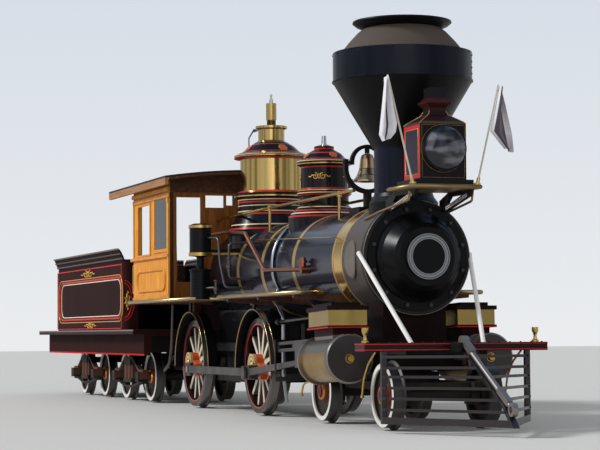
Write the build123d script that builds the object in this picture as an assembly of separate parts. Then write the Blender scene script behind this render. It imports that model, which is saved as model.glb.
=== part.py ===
from build123d import *
import math
import os

# A narrow gauge 4-4-0 steam locomotive with its eight wheeled tender.
# The front points to +X and its left side to +Y. Sizes are in millimetres.
# While it is drawn, X runs from the front driving axle and Z from the rail top.

# Wheels and gauge
back_to_back = 864
tyre_width = 125
flange_depth = 26
flange_width = 32
driver_radius = 533.4
driver_rim_radius = 462
lead_wheel_radius = 305
tender_wheel_radius = 330
driver_axle_radius = 78
truck_axle_radius = 55
axle_clearance = 0.5

# Places along the engine
driver_wheelbase = 2620
lead_truck_x = 2993
lead_truck_wheelbase = 1720
frame_rear_x = -3420
beam_front_x = 4367
beam_depth = 250
beam_half_width = 924
beam_bottom_z = 725
beam_height = 78

# Cranks and rods
crank_radius = 203
right_crank_angle = -22
left_crank_angle = -112
crank_pin_radius = 42
pin_clearance = 0.5
side_rod_inner_y = 655
side_rod_thickness = 44
crank_pin_reach = 12
side_rod_height = 88
main_rod_length = 1900
main_rod_thickness = 50
rod_end_gap = 0.3

# Cylinders, all of it tilted so that its centre line meets the driving axle
cylinder_tilt = 1.94
cylinder_y = 740
cylinder_rear_x = 2618
cylinder_length = 850
cylinder_radius = 218
cylinder_flange_radius = 243
cylinder_flange_width = 45
piston_rod_radius = 24
piston_rod_clearance = 0.5
piston_rod_engagement = 30
guide_rear_x = 1380
guide_width = 70
guide_thickness = 32
guide_gap = 40
lower_guide_z = 119
guide_clearance = 0.5
cheek_thickness = 16
crosshead_length = 330

# Boiler
boiler_z = 1630
boiler_radius = 540
smokebox_rear_x = 2760
smokebox_front_x = 3394
smokebox_radius = 548
smokebox_ring_radius = 562
smokebox_ring_width = 70
wide_band_width = 290
firebox_axle_clearance = 192
firebox_rear_x = driver_axle_radius + firebox_axle_clearance - driver_wheelbase
boiler_rear_x = firebox_rear_x
firebox_front_x = -360
firebox_half_width = 300
firebox_bottom_z = 330

# Main frame
frame_half_gap = 325
frame_bar_width = 90
top_rail_z = 690
top_rail_height = 100
lower_rail_z = 330
lower_rail_height = 70

# Boards and cab
board_top_z = 1330
board_thickness = 45
board_half_width = 1000
front_board_front_x = 2690
front_board_rear_x = -70
front_board_inner_y = 600
front_board_corner = 360
cab_board_half_width = 1100
cab_board_front_x = -880
cab_rear_x = -3800
cab_front_x = -1940
cab_half_width = 1050
cab_wall = 45
cab_sill_z = 1860
cab_wall_top_z = 2620
roof_rear_x = -4480
roof_front_x = -1600
roof_half_width = 1200
roof_thickness = 50
roof_rise = 90
roof_eave_z = 2795

# Tender
tender_front_x = -3800
tender_rear_x = -9850
tender_deck_z = 900
tender_deck_thickness = 60
tender_deck_half_width = 1050
tender_sill_outer_y = 900
tender_sill_width = 90
tender_sill_bottom_z = 620
tank_front_x = -4480
tank_rear_x = -8720
tank_half_width = 1000
tank_top_z = 1900
tank_leg_width = 260
tank_wall = 8
fuel_space_rear_x = -7000
flare_height = 150
flare_spread = 60
tender_truck_x = (-5472, -8138)
tender_truck_wheelbase = 1350
drawbar_pin_x = -3200
drawbar_z = 640
coupler_reach = 230

# Worked out from the sizes above
wheel_inner_y = back_to_back / 2
wheel_face_y = wheel_inner_y + tyre_width
cylinder_front_x = cylinder_rear_x + cylinder_length
frame_outer_y = frame_half_gap + frame_bar_width
board_bottom_z = board_top_z - board_thickness
beam_rear_x = beam_front_x - beam_depth
beam_top_z = beam_bottom_z + beam_height
pilot_tip_x = beam_front_x + 1279
coupler_face_x = tender_rear_x - coupler_reach
x_datum = (pilot_tip_x + coupler_face_x) / 2


def block(x0, x1, y0, y1, z0, z1):
    """A box between two corners."""
    return Pos((x0 + x1) / 2, (y0 + y1) / 2, (z0 + z1) / 2) * Box(
        abs(x1 - x0), abs(y1 - y0), abs(z1 - z0)
    )


def drum_x(x0, x1, y, z, radius):
    """A cylinder along X."""
    return Pos((x0 + x1) / 2, y, z) * Rot(0, 90, 0) * Cylinder(radius, abs(x1 - x0))


def drum_y(x, y0, y1, z, radius):
    """A cylinder along Y."""
    return Pos(x, (y0 + y1) / 2, z) * Rot(90, 0, 0) * Cylinder(radius, abs(y1 - y0))


def drum_z(x, y, z0, z1, radius):
    """A cylinder along Z."""
    return Pos(x, y, (z0 + z1) / 2) * Cylinder(radius, abs(z1 - z0))


def strut(start, end, radius):
    """A round bar between two points."""
    path = Line(start, end)
    section = Plane(origin=start, z_dir=path % 0) * Circle(radius)
    return extrude(section, path.length)


def bent_bar(points, radius, bend):
    """A round bar through points, bent to a radius at its corners."""
    path = FilletPolyline(*points, radius=bend)
    section = Plane(origin=path @ 0, z_dir=path % 0) * Circle(radius)
    return sweep(section, path)


def turned(profile, x, z):
    """A turned form about an upright axis, from (radius, height) corners."""
    corners = [(radius, height) for radius, height in profile]
    face = make_face(Polyline(corners, close=True))
    upright = Plane(origin=(x, 0, z), x_dir=(1, 0, 0), z_dir=(0, -1, 0))
    return revolve(upright * face, Axis((x, 0, z), (0, 0, 1)))


def turned_along_x(profile, y, z):
    """A turned form about an axis along X, from (x, radius) corners."""
    face = make_face(Polyline(profile, close=True))
    lying = Plane(origin=(0, y, z), x_dir=(1, 0, 0), z_dir=(0, -1, 0))
    return revolve(lying * face, Axis((0, y, z), (1, 0, 0)))


def turned_along_y(profile, x, z, side):
    """A turned form about an axis along Y, from (distance out, radius) corners."""
    corners = [(radius, side * out) for out, radius in profile]
    face = make_face(Polyline(corners, close=True))
    return revolve(Plane(origin=(x, 0, z)) * face, Axis((x, 0, z), (0, 1, 0)))


def side_plate(corners, y0, y1):
    """A plate with its outline in X and Z, from y0 to y1."""
    face = make_face(Polyline(corners, close=True))
    plane = Plane(origin=(0, y0, 0), x_dir=(1, 0, 0), z_dir=(0, -1, 0))
    return extrude(plane * face, y0 - y1)


def cross_plate(corners, x0, x1):
    """A plate with its outline in Y and Z, from x0 to x1."""
    face = make_face(Polyline(corners, close=True))
    plane = Plane(origin=(x0, 0, 0), x_dir=(0, 1, 0), z_dir=(1, 0, 0))
    return extrude(plane * face, x1 - x0)


def mirrored(shape):
    """The same piece on the other side of the engine."""
    return mirror(shape, about=Plane.XZ)


def both(shape):
    """A piece and its mirror image."""
    return [shape, mirrored(shape)]


def joined(pieces):
    """One solid from pieces that touch."""
    result = pieces[0]
    for piece in pieces[1:]:
        result = result + piece
    return result


def tilted(shape):
    """A piece drawn level with the driving axle, tilted with the cylinders."""
    return Pos(0, 0, driver_radius) * Rot(0, -cylinder_tilt, 0) * shape


def save(name, shapes):
    """Move the piece to the finished frame and write it."""
    solids = []
    for shape in shapes:
        solids.extend(shape.solids())
    moved = Pos(-x_datum, 0, flange_depth) * Compound(children=solids)
    export_step(moved, f"parts/{name}.step")


# Wheels on their axles


def tyre(x, z, tread_radius, rim_radius, side):
    """One wheel's rim with its tyre and flange."""
    flange_radius = tread_radius + flange_depth
    profile = [
        (wheel_inner_y, rim_radius),
        (wheel_face_y, rim_radius),
        (wheel_face_y, tread_radius),
        (wheel_inner_y + flange_width, tread_radius),
        (wheel_inner_y + flange_width * 0.6, flange_radius),
        (wheel_inner_y + flange_width * 0.25, flange_radius),
        (wheel_inner_y, tread_radius),
    ]
    return turned_along_y(profile, x, z, side)


hub_radius = 135
hub_face_y = 637
crank_boss_radius = 82
crank_boss_face_y = 605
spoke_count = 12
spoke_root_width = 56
spoke_tip_width = 36
spoke_inner_y = 470
spoke_outer_y = 520


def driver_wheel(axle_x, side, crank_angle):
    """A spoked driving wheel with its crank boss and pin."""
    z = driver_radius
    pieces = [tyre(axle_x, z, driver_radius, driver_rim_radius, side)]
    pieces.append(drum_y(axle_x, side * wheel_inner_y, side * hub_face_y, z, hub_radius))
    spoke = side_plate(
        [
            (hub_radius * 0.7, -spoke_root_width / 2),
            (driver_rim_radius + 12, -spoke_tip_width / 2),
            (driver_rim_radius + 12, spoke_tip_width / 2),
            (hub_radius * 0.7, spoke_root_width / 2),
        ],
        side * spoke_inner_y,
        side * spoke_outer_y,
    )
    for number in range(spoke_count):
        turn = 360 * (number + 0.5) / spoke_count
        pieces.append(Pos(axle_x, 0, z) * Rot(0, turn, 0) * spoke)
    pin_x = axle_x + crank_radius * math.cos(math.radians(crank_angle))
    pin_z = z + crank_radius * math.sin(math.radians(crank_angle))
    pieces.append(
        drum_y(pin_x, side * spoke_inner_y, side * crank_boss_face_y, pin_z, crank_boss_radius)
    )
    web = Pos(axle_x + crank_radius / 2, side * (spoke_inner_y + crank_boss_face_y) / 2, z) * Box(
        crank_radius, crank_boss_face_y - spoke_inner_y, crank_boss_radius * 2
    )
    web = Pos(axle_x, 0, z) * Rot(0, -crank_angle, 0) * Pos(-axle_x, 0, -z) * web
    pieces.append(web)
    pin_end_y = side_rod_inner_y + side_rod_thickness + crank_pin_reach
    pieces.append(
        drum_y(pin_x, side * crank_boss_face_y, side * pin_end_y, pin_z, crank_pin_radius)
    )
    return joined(pieces)


def driver_set(axle_x):
    """Two driving wheels on one axle, their cranks a quarter turn apart."""
    axle = drum_y(axle_x, -wheel_face_y, wheel_face_y, driver_radius, driver_axle_radius)
    right = driver_wheel(axle_x, -1, right_crank_angle + cylinder_tilt)
    left = driver_wheel(axle_x, 1, left_crank_angle + cylinder_tilt)
    return joined([axle, right, left])


lead_axle_end_y = 582
tender_axle_end_y = 725
plate_thickness = 28
plate_middle_y = 500


def plate_wheel_set(axle_x, tread_radius, journal_end_y):
    """Two plate wheels on one axle, its journals inside or outside them."""
    rim_radius = tread_radius - 48
    pieces = [drum_y(axle_x, -journal_end_y, journal_end_y, tread_radius, truck_axle_radius)]
    for side in (-1, 1):
        profile = [
            (wheel_inner_y, 0),
            (wheel_inner_y, 95),
            (plate_middle_y - plate_thickness / 2, 105),
            (plate_middle_y - plate_thickness / 2, rim_radius),
            (wheel_inner_y, rim_radius),
            (wheel_inner_y, tread_radius),
            (wheel_inner_y + flange_width * 0.25, tread_radius + flange_depth),
            (wheel_inner_y + flange_width * 0.6, tread_radius + flange_depth),
            (wheel_inner_y + flange_width, tread_radius),
            (wheel_face_y, tread_radius),
            (wheel_face_y, rim_radius),
            (plate_middle_y + plate_thickness / 2, rim_radius),
            (plate_middle_y + plate_thickness / 2, 105),
            (wheel_face_y + 8, 85),
            (wheel_face_y + 8, 0),
        ]
        pieces.append(turned_along_y(profile, axle_x, tread_radius, side))
    return joined(pieces)


# Rods


def crank_pin_place(axle_x, crank_angle):
    """Centre of a crank pin, in X and Z."""
    angle = math.radians(crank_angle + cylinder_tilt)
    return axle_x + crank_radius * math.cos(angle), driver_radius + crank_radius * math.sin(angle)


def side_rod(side, crank_angle):
    """The coupling rod between both driving wheels of a side."""
    front_x, pin_z = crank_pin_place(0, crank_angle)
    rear_x, _ = crank_pin_place(-driver_wheelbase, crank_angle)
    inner = side * side_rod_inner_y
    outer = side * (side_rod_inner_y + side_rod_thickness)
    half = side_rod_height / 2
    pieces = [block(rear_x, front_x, inner, outer, pin_z - half, pin_z + half)]
    for x in (rear_x, front_x):
        pieces.append(block(x - 95, x + 120, inner, outer, pin_z - 80, pin_z + 80))
    rod = joined(pieces)
    for x in (rear_x, front_x):
        rod = rod - drum_y(x, inner * 0.9, outer * 1.1, pin_z, crank_pin_radius + pin_clearance)
    return rod


def crosshead_travel(crank_angle):
    """Distance from the driving axle to the crosshead pin along the cylinder's line."""
    angle = math.radians(crank_angle)
    offset = crank_radius * math.sin(angle)
    return crank_radius * math.cos(angle) + math.sqrt(main_rod_length**2 - offset**2)


crosshead_pin_radius = 30
main_rod_big_height = 150
main_rod_small_height = 76
big_end_length = 250
stub_outer_y = cylinder_y + 60


def main_rod(side, crank_angle):
    """The connecting rod, with the outer stub of the crank pin in its big end."""
    angle = math.radians(crank_angle)
    pin_x = crank_radius * math.cos(angle)
    pin_z = crank_radius * math.sin(angle)
    cross_x = crosshead_travel(crank_angle)
    lean = math.degrees(math.atan2(-pin_z, cross_x - pin_x))
    inner = side * (cylinder_y - main_rod_thickness / 2)
    outer = side * (cylinder_y + main_rod_thickness / 2)
    length = main_rod_length
    shaft = side_plate(
        [
            (120, -main_rod_big_height * 0.27),
            (length - 30, -main_rod_small_height * 0.31),
            (length - 30, main_rod_small_height * 0.31),
            (120, main_rod_big_height * 0.27),
        ],
        inner,
        outer,
    )
    big_end = block(-big_end_length * 0.42, big_end_length * 0.58, inner, outer,
                    -main_rod_big_height / 2, main_rod_big_height / 2)
    small_end = drum_y(length, inner, outer, 0, main_rod_small_height / 2 + 12)
    stub_inner_y = side_rod_inner_y + side_rod_thickness + crank_pin_reach + rod_end_gap
    stub = drum_y(0, side * stub_inner_y, side * stub_outer_y, 0, crank_pin_radius)
    collar = drum_y(0, side * (stub_outer_y - 22), side * stub_outer_y, 0, crank_pin_radius + 32)
    rod = joined([shaft, big_end, small_end, stub, collar])
    rod = rod - drum_y(length, inner * 0.9, outer * 1.1, 0, crosshead_pin_radius + pin_clearance)
    return tilted(Pos(pin_x, 0, pin_z) * Rot(0, -lean, 0) * rod)


def crosshead(side, crank_angle):
    """The crosshead on its guides, with its pin and the piston rod."""
    pin_x = crosshead_travel(crank_angle)
    rear = pin_x - crosshead_length / 2
    front = pin_x + crosshead_length / 2
    half_guide = guide_width / 2
    slipper_bottom = lower_guide_z + guide_thickness + guide_clearance
    slipper_top = lower_guide_z + guide_thickness + guide_gap - guide_clearance
    cheek_in = half_guide + guide_clearance
    cheek_out = cheek_in + cheek_thickness
    fork = main_rod_thickness / 2 + pin_clearance
    low = -58
    pieces = [
        block(rear, front, -cheek_out, cheek_out, slipper_bottom, slipper_top),
        block(front - 75, front, -cheek_out, cheek_out, low, lower_guide_z - guide_clearance),
    ]
    for hand in (-1, 1):
        pieces.append(
            block(rear + 70, front, hand * cheek_in, hand * cheek_out, low, slipper_top)
        )
        pieces.append(
            block(rear + 70, front, hand * fork, hand * cheek_out, low, 58)
        )
    pieces.append(drum_y(pin_x, -cheek_out - 12, cheek_out + 12, 0, crosshead_pin_radius))
    pieces.append(drum_x(front - 10, front + 60, 0, 0, piston_rod_radius + 16))
    rod_end = pin_x + cylinder_rear_x + piston_rod_engagement - (main_rod_length - crank_radius)
    pieces.append(drum_x(front, rod_end, 0, 0, piston_rod_radius))
    return tilted(Pos(0, side * cylinder_y, 0) * joined(pieces))


# Cylinders, steam chests and saddle

chest_rear_x = 2706
chest_front_x = 3286
chest_inboard = 60
chest_half_width = 200
chest_bottom_z = 412
chest_height = 150
saddle_rear_x = 2860
saddle_front_x = smokebox_front_x - smokebox_ring_width
saddle_bottom_z = 520


def cylinder_unit(side):
    """One cylinder with its covers, valve seat and steam chest."""
    front_cap = [
        (cylinder_front_x, 0),
        (cylinder_front_x, cylinder_flange_radius - 4),
        (cylinder_front_x + 16, cylinder_flange_radius - 16),
        (cylinder_front_x + 16, 40),
        (cylinder_front_x + 45, 30),
        (cylinder_front_x + 45, 0),
    ]
    barrel = [
        (cylinder_rear_x - 60, 0),
        (cylinder_rear_x - 60, 62),
        (cylinder_rear_x, 80),
        (cylinder_rear_x, cylinder_flange_radius),
        (cylinder_rear_x + cylinder_flange_width, cylinder_flange_radius),
        (cylinder_rear_x + cylinder_flange_width, cylinder_radius),
        (cylinder_front_x - cylinder_flange_width, cylinder_radius),
        (cylinder_front_x - cylinder_flange_width, cylinder_flange_radius),
        (cylinder_front_x, cylinder_flange_radius),
        (cylinder_front_x, 0),
    ]
    seat_rear = chest_rear_x + 20
    seat_front = chest_front_x - 20
    half = chest_half_width
    low = chest_bottom_z - 85
    high = low + chest_height
    chest = joined([
        block(seat_rear, seat_front, 50 - half, half - 50, 120, low - 25),
        block(chest_rear_x - 15, chest_front_x + 15, -half - 15, half + 15, low - 25, low),
        block(chest_rear_x, chest_front_x, -half, half, low, high),
        block(chest_rear_x - 18, chest_front_x + 18, -half - 18, half + 18, high, high + 40),
        block(chest_rear_x + 45, chest_front_x - 45, 50 - half, half - 50, high + 40, high + 75),
    ])
    chest = Pos(0, -side * chest_inboard, 0) * chest
    unit = joined([turned_along_x(barrel, 0, 0), turned_along_x(front_cap, 0, 0), chest])
    bore_front = cylinder_front_x - 60
    unit = unit - drum_x(cylinder_rear_x - 70, bore_front, 0, 0, piston_rod_radius + piston_rod_clearance)
    return tilted(Pos(0, side * cylinder_y, 0) * unit)


def cylinder_block():
    """Both cylinders on the saddle that carries the smokebox."""
    saddle = block(saddle_rear_x, saddle_front_x, -560, 560, saddle_bottom_z, 1250)
    saddle = saddle - block(saddle_rear_x - 10, saddle_front_x + 10, -700, -330, 820, 1260)
    saddle = saddle - block(saddle_rear_x - 10, saddle_front_x + 10, 330, 700, 820, 1260)
    saddle = saddle - drum_x(saddle_rear_x - 10, saddle_front_x + 10, 0, boiler_z, smokebox_radius)
    result = joined([saddle, cylinder_unit(-1), cylinder_unit(1)])
    for side in (-1, 1):
        rail = block(saddle_rear_x - 10, saddle_front_x + 10, side * frame_half_gap,
                     side * frame_outer_y, top_rail_z, top_rail_z + top_rail_height)
        result = result - rail
    pin_top = saddle_bottom_z + 30
    return result + drum_z(lead_truck_x, 0, truck_bolster_bottom_z, pin_top, centre_pin_radius)


centre_pin_radius = 50
truck_bolster_bottom_z = 400


def guides():
    """Two guide bars a side, their yoke and the rear cylinder lugs."""
    pieces = []
    half = guide_width / 2
    upper_z = lower_guide_z + guide_thickness + guide_gap
    top = upper_z + guide_thickness
    for side in (-1, 1):
        bars = [
            block(guide_rear_x, cylinder_rear_x, -half, half, lower_guide_z, lower_guide_z + guide_thickness),
            block(guide_rear_x, cylinder_rear_x, -half, half, upper_z, top),
            block(guide_rear_x, guide_rear_x + 40, -half, half, lower_guide_z, top),
        ]
        yoke = block(guide_rear_x - 35, guide_rear_x, -cylinder_y + frame_outer_y, half + 25,
                     -190, top + 30)
        slot = block(guide_rear_x - 60, guide_rear_x, -50, 50, -140, lower_guide_z)
        carrier = joined(bars + [yoke - slot])
        if side > 0:
            carrier = Pos(0, cylinder_y, 0) * carrier
        else:
            carrier = mirrored(Pos(0, cylinder_y, 0) * carrier)
        pieces.append(tilted(carrier))
    return pieces


# Frame, beam and pilot


def pedestals(axle_x, side):
    """The two jaws that hold an axle box, and the box itself."""
    inner = side * frame_half_gap
    outer = side * frame_outer_y
    low = lower_rail_z
    high = top_rail_z + 5
    jaws = [
        block(axle_x - 200, axle_x - 110, inner, outer, low, high),
        block(axle_x + 110, axle_x + 200, inner, outer, low, high),
        block(axle_x - 112, axle_x + 112, inner, outer, driver_radius - 120, driver_radius + 100),
    ]
    return joined(jaws)


def driver_spring(axle_x, side):
    """A leaf spring on its saddle above an axle box, its ends hung from the frame."""
    y0 = side * (frame_half_gap + 10)
    y1 = side * (frame_outer_y - 10)
    rail_top = top_rail_z + top_rail_height
    base = rail_top + 60
    pieces = [block(axle_x - 45, axle_x + 45, y0, y1, rail_top - 5, base)]
    for leaf in range(spring_leaf_count):
        half = 140 + 80 * leaf
        low = base + spring_leaf_height * leaf
        pieces.append(block(axle_x - half, axle_x + half, y0, y1, low - 1, low + spring_leaf_height))
    for hand in (-1, 1):
        x = axle_x + hand * (100 + 80 * (spring_leaf_count - 1))
        top = base + spring_leaf_height * spring_leaf_count
        pieces.append(block(x - 14, x + 14, y0, y1, rail_top - 5, top))
    return joined(pieces)


def engine_frame():
    """Bar frames with pedestals, cross ties and the drawbar pocket."""
    pieces = []
    for side in (-1, 1):
        inner = side * frame_half_gap
        outer = side * frame_outer_y
        pieces.append(block(frame_rear_x, beam_rear_x, inner, outer, top_rail_z, top_rail_z + top_rail_height))
        pieces.append(
            block(-driver_wheelbase - 200, 200, inner, outer, lower_rail_z, lower_rail_z + lower_rail_height)
        )
        for axle_x in (-driver_wheelbase, 0):
            pieces.append(pedestals(axle_x, side))
        brace = side_plate(
            [(190, lower_rail_z), (1320, top_rail_z + 10), (1220, top_rail_z + 10), (190, lower_rail_z + 70)],
            inner,
            outer,
        )
        pieces.append(brace)
    ties = [
        (frame_rear_x, frame_rear_x + 60),
        (-2860, -2800),
        (330, 400),
        (1285, 1345),
        (2200, 2260),
        (3900, 3960),
    ]
    for start, end in ties:
        pieces.append(
            block(start, end, -frame_half_gap - 5, frame_half_gap + 5, top_rail_z, top_rail_z + top_rail_height)
        )
    pocket_front_x = drawbar_pin_x + 180
    web_x = pocket_front_x - 40
    half = drawbar_pocket_half_width
    pocket = block(frame_rear_x, pocket_front_x, -half, half, drawbar_z + 45, top_rail_z + 10)
    floor = block(frame_rear_x, pocket_front_x, -half, half, drawbar_z - 85, drawbar_z - 45)
    web = block(web_x, pocket_front_x, -half, half, drawbar_z - 85, top_rail_z + 10)
    rear_tie = block(web_x, pocket_front_x, -frame_half_gap - 5, frame_half_gap + 5, top_rail_z,
                     top_rail_z + 60)
    pieces.extend([pocket, floor, web, rear_tie])
    for axle_x in (-driver_wheelbase, 0):
        for side in (-1, 1):
            pieces.append(driver_spring(axle_x, side))
    frame = joined(pieces)
    for axle_x in (-driver_wheelbase, 0):
        frame = frame - drum_y(axle_x, -500, 500, driver_radius, driver_axle_radius + axle_clearance)
    return frame + drum_z(drawbar_pin_x, 0, drawbar_z - 60, drawbar_z + 60, drawbar_pin_radius)


drawbar_pin_radius = 32
drawbar_pocket_half_width = 160
pocket_half_gap = 34
spring_leaf_count = 5
spring_leaf_height = 20


def pilot_beam():
    """The front beam and the pocket of the front coupling bar."""
    beam = block(beam_rear_x, beam_front_x, -beam_half_width, beam_half_width, beam_bottom_z, beam_top_z)
    pocket = block(beam_front_x, beam_front_x + 200, -75, 75, beam_bottom_z - 10, beam_top_z)
    pocket = pocket - block(beam_front_x + 60, beam_front_x + 220, -pocket_half_gap,
                            pocket_half_gap, beam_bottom_z - 20, beam_top_z + 10)
    return joined([beam, pocket])


slat_table = (
    # height, half thickness
    (674, 13),
    (573, 13),
    (491, 13),
    (390, 13),
    (293, 13),
    (192, 13),
    (92, 32),
)
slat_y = 750
slat_x = 4350
slat_depth = 36
spine_width = 60
nose_line = (
    # x, height
    (beam_front_x + 273, 709),
    (beam_front_x + 1073, 262),
    (pilot_tip_x, 60),
)


def nose_x(height):
    """How far forward the pilot's nose stands at a height."""
    upper, bend, tip = nose_line
    if height > bend[1]:
        start, end = upper, bend
    else:
        start, end = bend, tip
    share = (start[1] - height) / (start[1] - end[1])
    return start[0] + (end[0] - start[0]) * share


def pilot():
    """The cowcatcher of level bars between two posts and a raked nose."""
    pieces = []
    for side in (-1, 1):
        pieces.append(block(slat_x - 40, slat_x, side * (slat_y - 50), side * slat_y, 60, beam_bottom_z))
    for height, half in slat_table:
        nose = nose_x(height + half) - 2
        outline = [
            (slat_x, -slat_y),
            (nose, 0),
            (slat_x, slat_y),
            (slat_x - slat_depth, slat_y),
            (nose - slat_depth, 0),
            (slat_x - slat_depth, -slat_y),
        ]
        face = make_face(Polyline(outline, close=True))
        pieces.append(extrude(Plane.XY.offset(height - half) * face, half * 2))
    half = spine_width / 2
    back = [(x - spine_width, height) for x, height in reversed(nose_line)]
    spine = side_plate(list(nose_line) + back, -half, half)
    stem = block(beam_front_x - 20, nose_line[0][0] - 20, -half, half, 640, beam_bottom_z - 16)
    pieces.extend([spine, stem])
    return joined(pieces)


bar_radius = 26
bar_top_x = beam_front_x + 153
bar_top_z = 808
bar_foot_x = beam_front_x + 1168
bar_foot_z = 242
link_eye_radius = 30


def draw_bar():
    """The loose coupling bar, lying down the nose of the pilot."""
    top = Vector(bar_top_x, 0, bar_top_z)
    foot = Vector(bar_foot_x, 0, bar_foot_z)
    slope = math.degrees(math.atan2(bar_top_z - bar_foot_z, bar_foot_x - bar_top_x))
    pieces = [strut(top, foot, bar_radius)]
    pieces.append(drum_y(top.X, -pocket_half_gap, pocket_half_gap, top.Z, 58))
    neck = Pos(bar_top_x, 0, bar_top_z) * Rot(0, slope, 0) * Pos(110, 0, 12) * Box(220, 56, 64)
    pieces.append(neck)
    strap = Pos(bar_foot_x, 0, bar_foot_z) * Rot(0, slope, 0) * Pos(-160, 0, 8) * Box(240, 52, 56)
    pieces.append(strap)
    eye_x = bar_foot_x + 40
    eye_z = bar_foot_z - 24
    pieces.append(drum_y(eye_x, -24, 24, eye_z, 62))
    bar = joined(pieces)
    return bar - drum_y(eye_x, -60, 60, eye_z, link_eye_radius)


# Boiler, smokebox and what stands on them


def boiler():
    """The lagged barrel with its bands, running back over the firebox."""
    x0 = boiler_rear_x
    x1 = smokebox_rear_x
    band_start = x1 - wide_band_width
    profile = [
        (x0, 0),
        (x0, boiler_radius - 30),
        (x0 + 30, boiler_radius),
        (band_start, boiler_radius),
        (band_start, boiler_radius + 8),
        (x1, boiler_radius + 8),
        (x1, 0),
    ]
    barrel = turned_along_x(profile, 0, boiler_z)
    box = block(firebox_rear_x, firebox_front_x, -firebox_half_width, firebox_half_width,
                firebox_bottom_z, boiler_z)
    return joined([barrel, box])


def smokebox():
    """The smokebox shell with its front ring."""
    profile = [
        (smokebox_rear_x, 0),
        (smokebox_rear_x, smokebox_radius),
        (smokebox_front_x - smokebox_ring_width, smokebox_radius),
        (smokebox_front_x - smokebox_ring_width, smokebox_ring_radius),
        (smokebox_front_x, smokebox_ring_radius),
        (smokebox_front_x, 0),
    ]
    return turned_along_x(profile, 0, boiler_z)


def smokebox_door():
    """The front plate, its dished door and the plain number plate."""
    x = smokebox_front_x
    profile = [
        (x, 0),
        (x, 520),
        (x + 30, 520),
        (x + 30, 440),
        (x + 60, 440),
        (x + 100, 405),
        (x + 240, 330),
        (x + 270, 285),
        (x + 270, 222),
        (x + 308, 222),
        (x + 308, 0),
    ]
    return turned_along_x(profile, 0, boiler_z)


stack_x = 3059
stack_table = (
    # radius, height above the rail
    (0, 2000),
    (345, 2000),
    (345, 2185),
    (305, 2240),
    (292, 2275),
    (292, 2715),
    (304, 2732),
    (695, 3388),
    (695, 3680),
    (612, 3690),
    (540, 3780),
    (450, 3878),
    (392, 3926),
    (462, 3956),
    (496, 3984),
    (492, 3998),
    (340, 3945),
    (330, 3920),
    (330, 3760),
    (0, 3760),
)


def stack():
    """The spark arresting stack, seated on the smokebox."""
    form = turned(stack_table, stack_x, 0)
    return form - drum_x(stack_x - 600, stack_x + 600, 0, boiler_z, smokebox_radius)


sand_dome_x = 710
sand_dome_table = (
    (0, 1900),
    (400, 1900),
    (400, 2180),
    (330, 2260),
    (270, 2300),
    (270, 2400),
    (303, 2430),
    (303, 2470),
    (262, 2490),
    (262, 2735),
    (303, 2755),
    (303, 2795),
    (235, 2830),
    (190, 2880),
    (110, 2925),
    (110, 2960),
    (30, 2985),
    (26, 3080),
    (0, 3080),
)

steam_dome_x = -1166
steam_dome_table = (
    (0, 1900),
    (520, 1900),
    (520, 2120),
    (440, 2270),
    (405, 2330),
    (405, 2490),
    (447, 2515),
    (447, 2560),
    (375, 2590),
    (375, 2965),
    (447, 2980),
    (447, 3020),
    (345, 3060),
    (270, 3130),
    (170, 3190),
    (158, 3200),
    (158, 3330),
    (190, 3345),
    (190, 3372),
    (0, 3372),
)


def dome(table, x):
    """A turned dome, seated on the boiler."""
    return turned(table, x, 0) - drum_x(x - 700, x + 700, 0, boiler_z, boiler_radius)


def safety_valves():
    """The muffler on its legs above the steam dome, with the whistle lever."""
    x = steam_dome_x
    pieces = [drum_z(x, 0, 3450, 3650, 62), drum_z(x, 0, 3650, 3700, 22), drum_z(x, 0, 3700, 3760, 14)]
    pieces.append(drum_z(x, 0, 3372, 3450, 30))
    for hand in (-1, 1):
        pieces.append(drum_z(x, hand * 42, 3372, 3460, 14))
    lever = block(x - 700, x - 20, -12, 12, 3372, 3400)
    pieces.append(lever)
    return joined(pieces)


bell_x = 2050
bell_pivot_z = 2670
bell_table = (
    # radius, height above the pivot
    (0, 94),
    (40, 92),
    (60, 78),
    (72, 40),
    (84, -60),
    (108, -130),
    (148, -184),
    (148, -198),
    (130, -198),
    (88, -130),
    (66, -60),
    (56, 30),
    (0, 60),
)
bell_arch_radius = 190
bell_arch_width = 38
stand_ring_drop = 60
stand_ring_radius = 262
stand_ring_width = 45
trunnion_radius = 14


def upright_ring(drop, outer, width, depth):
    """A ring square across the engine, below the bell's pivot by a drop."""
    plane = Plane(origin=(bell_x, 0, bell_pivot_z - drop), x_dir=(0, 1, 0), z_dir=(1, 0, 0))
    return extrude(plane * (Circle(outer) - Circle(outer - width)), depth / 2, both=True)


def bell():
    """The bell under its arched yoke, with the trunnions."""
    cup = turned(bell_table, bell_x, bell_pivot_z)
    arch = upright_ring(0, bell_arch_radius, bell_arch_width, 50)
    arch = arch - block(bell_x - 60, bell_x + 60, -300, 300, bell_pivot_z - 300, bell_pivot_z - 22)
    crown = drum_z(bell_x, 0, bell_pivot_z + 88, bell_pivot_z + bell_arch_radius - 20, 26)
    pieces = [cup, arch, crown]
    for side in (-1, 1):
        inner = side * (bell_arch_radius - 20)
        outer = side * (stand_ring_radius + 6)
        pieces.append(drum_y(bell_x, inner, outer, bell_pivot_z, trunnion_radius))
    return joined(pieces)


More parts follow.
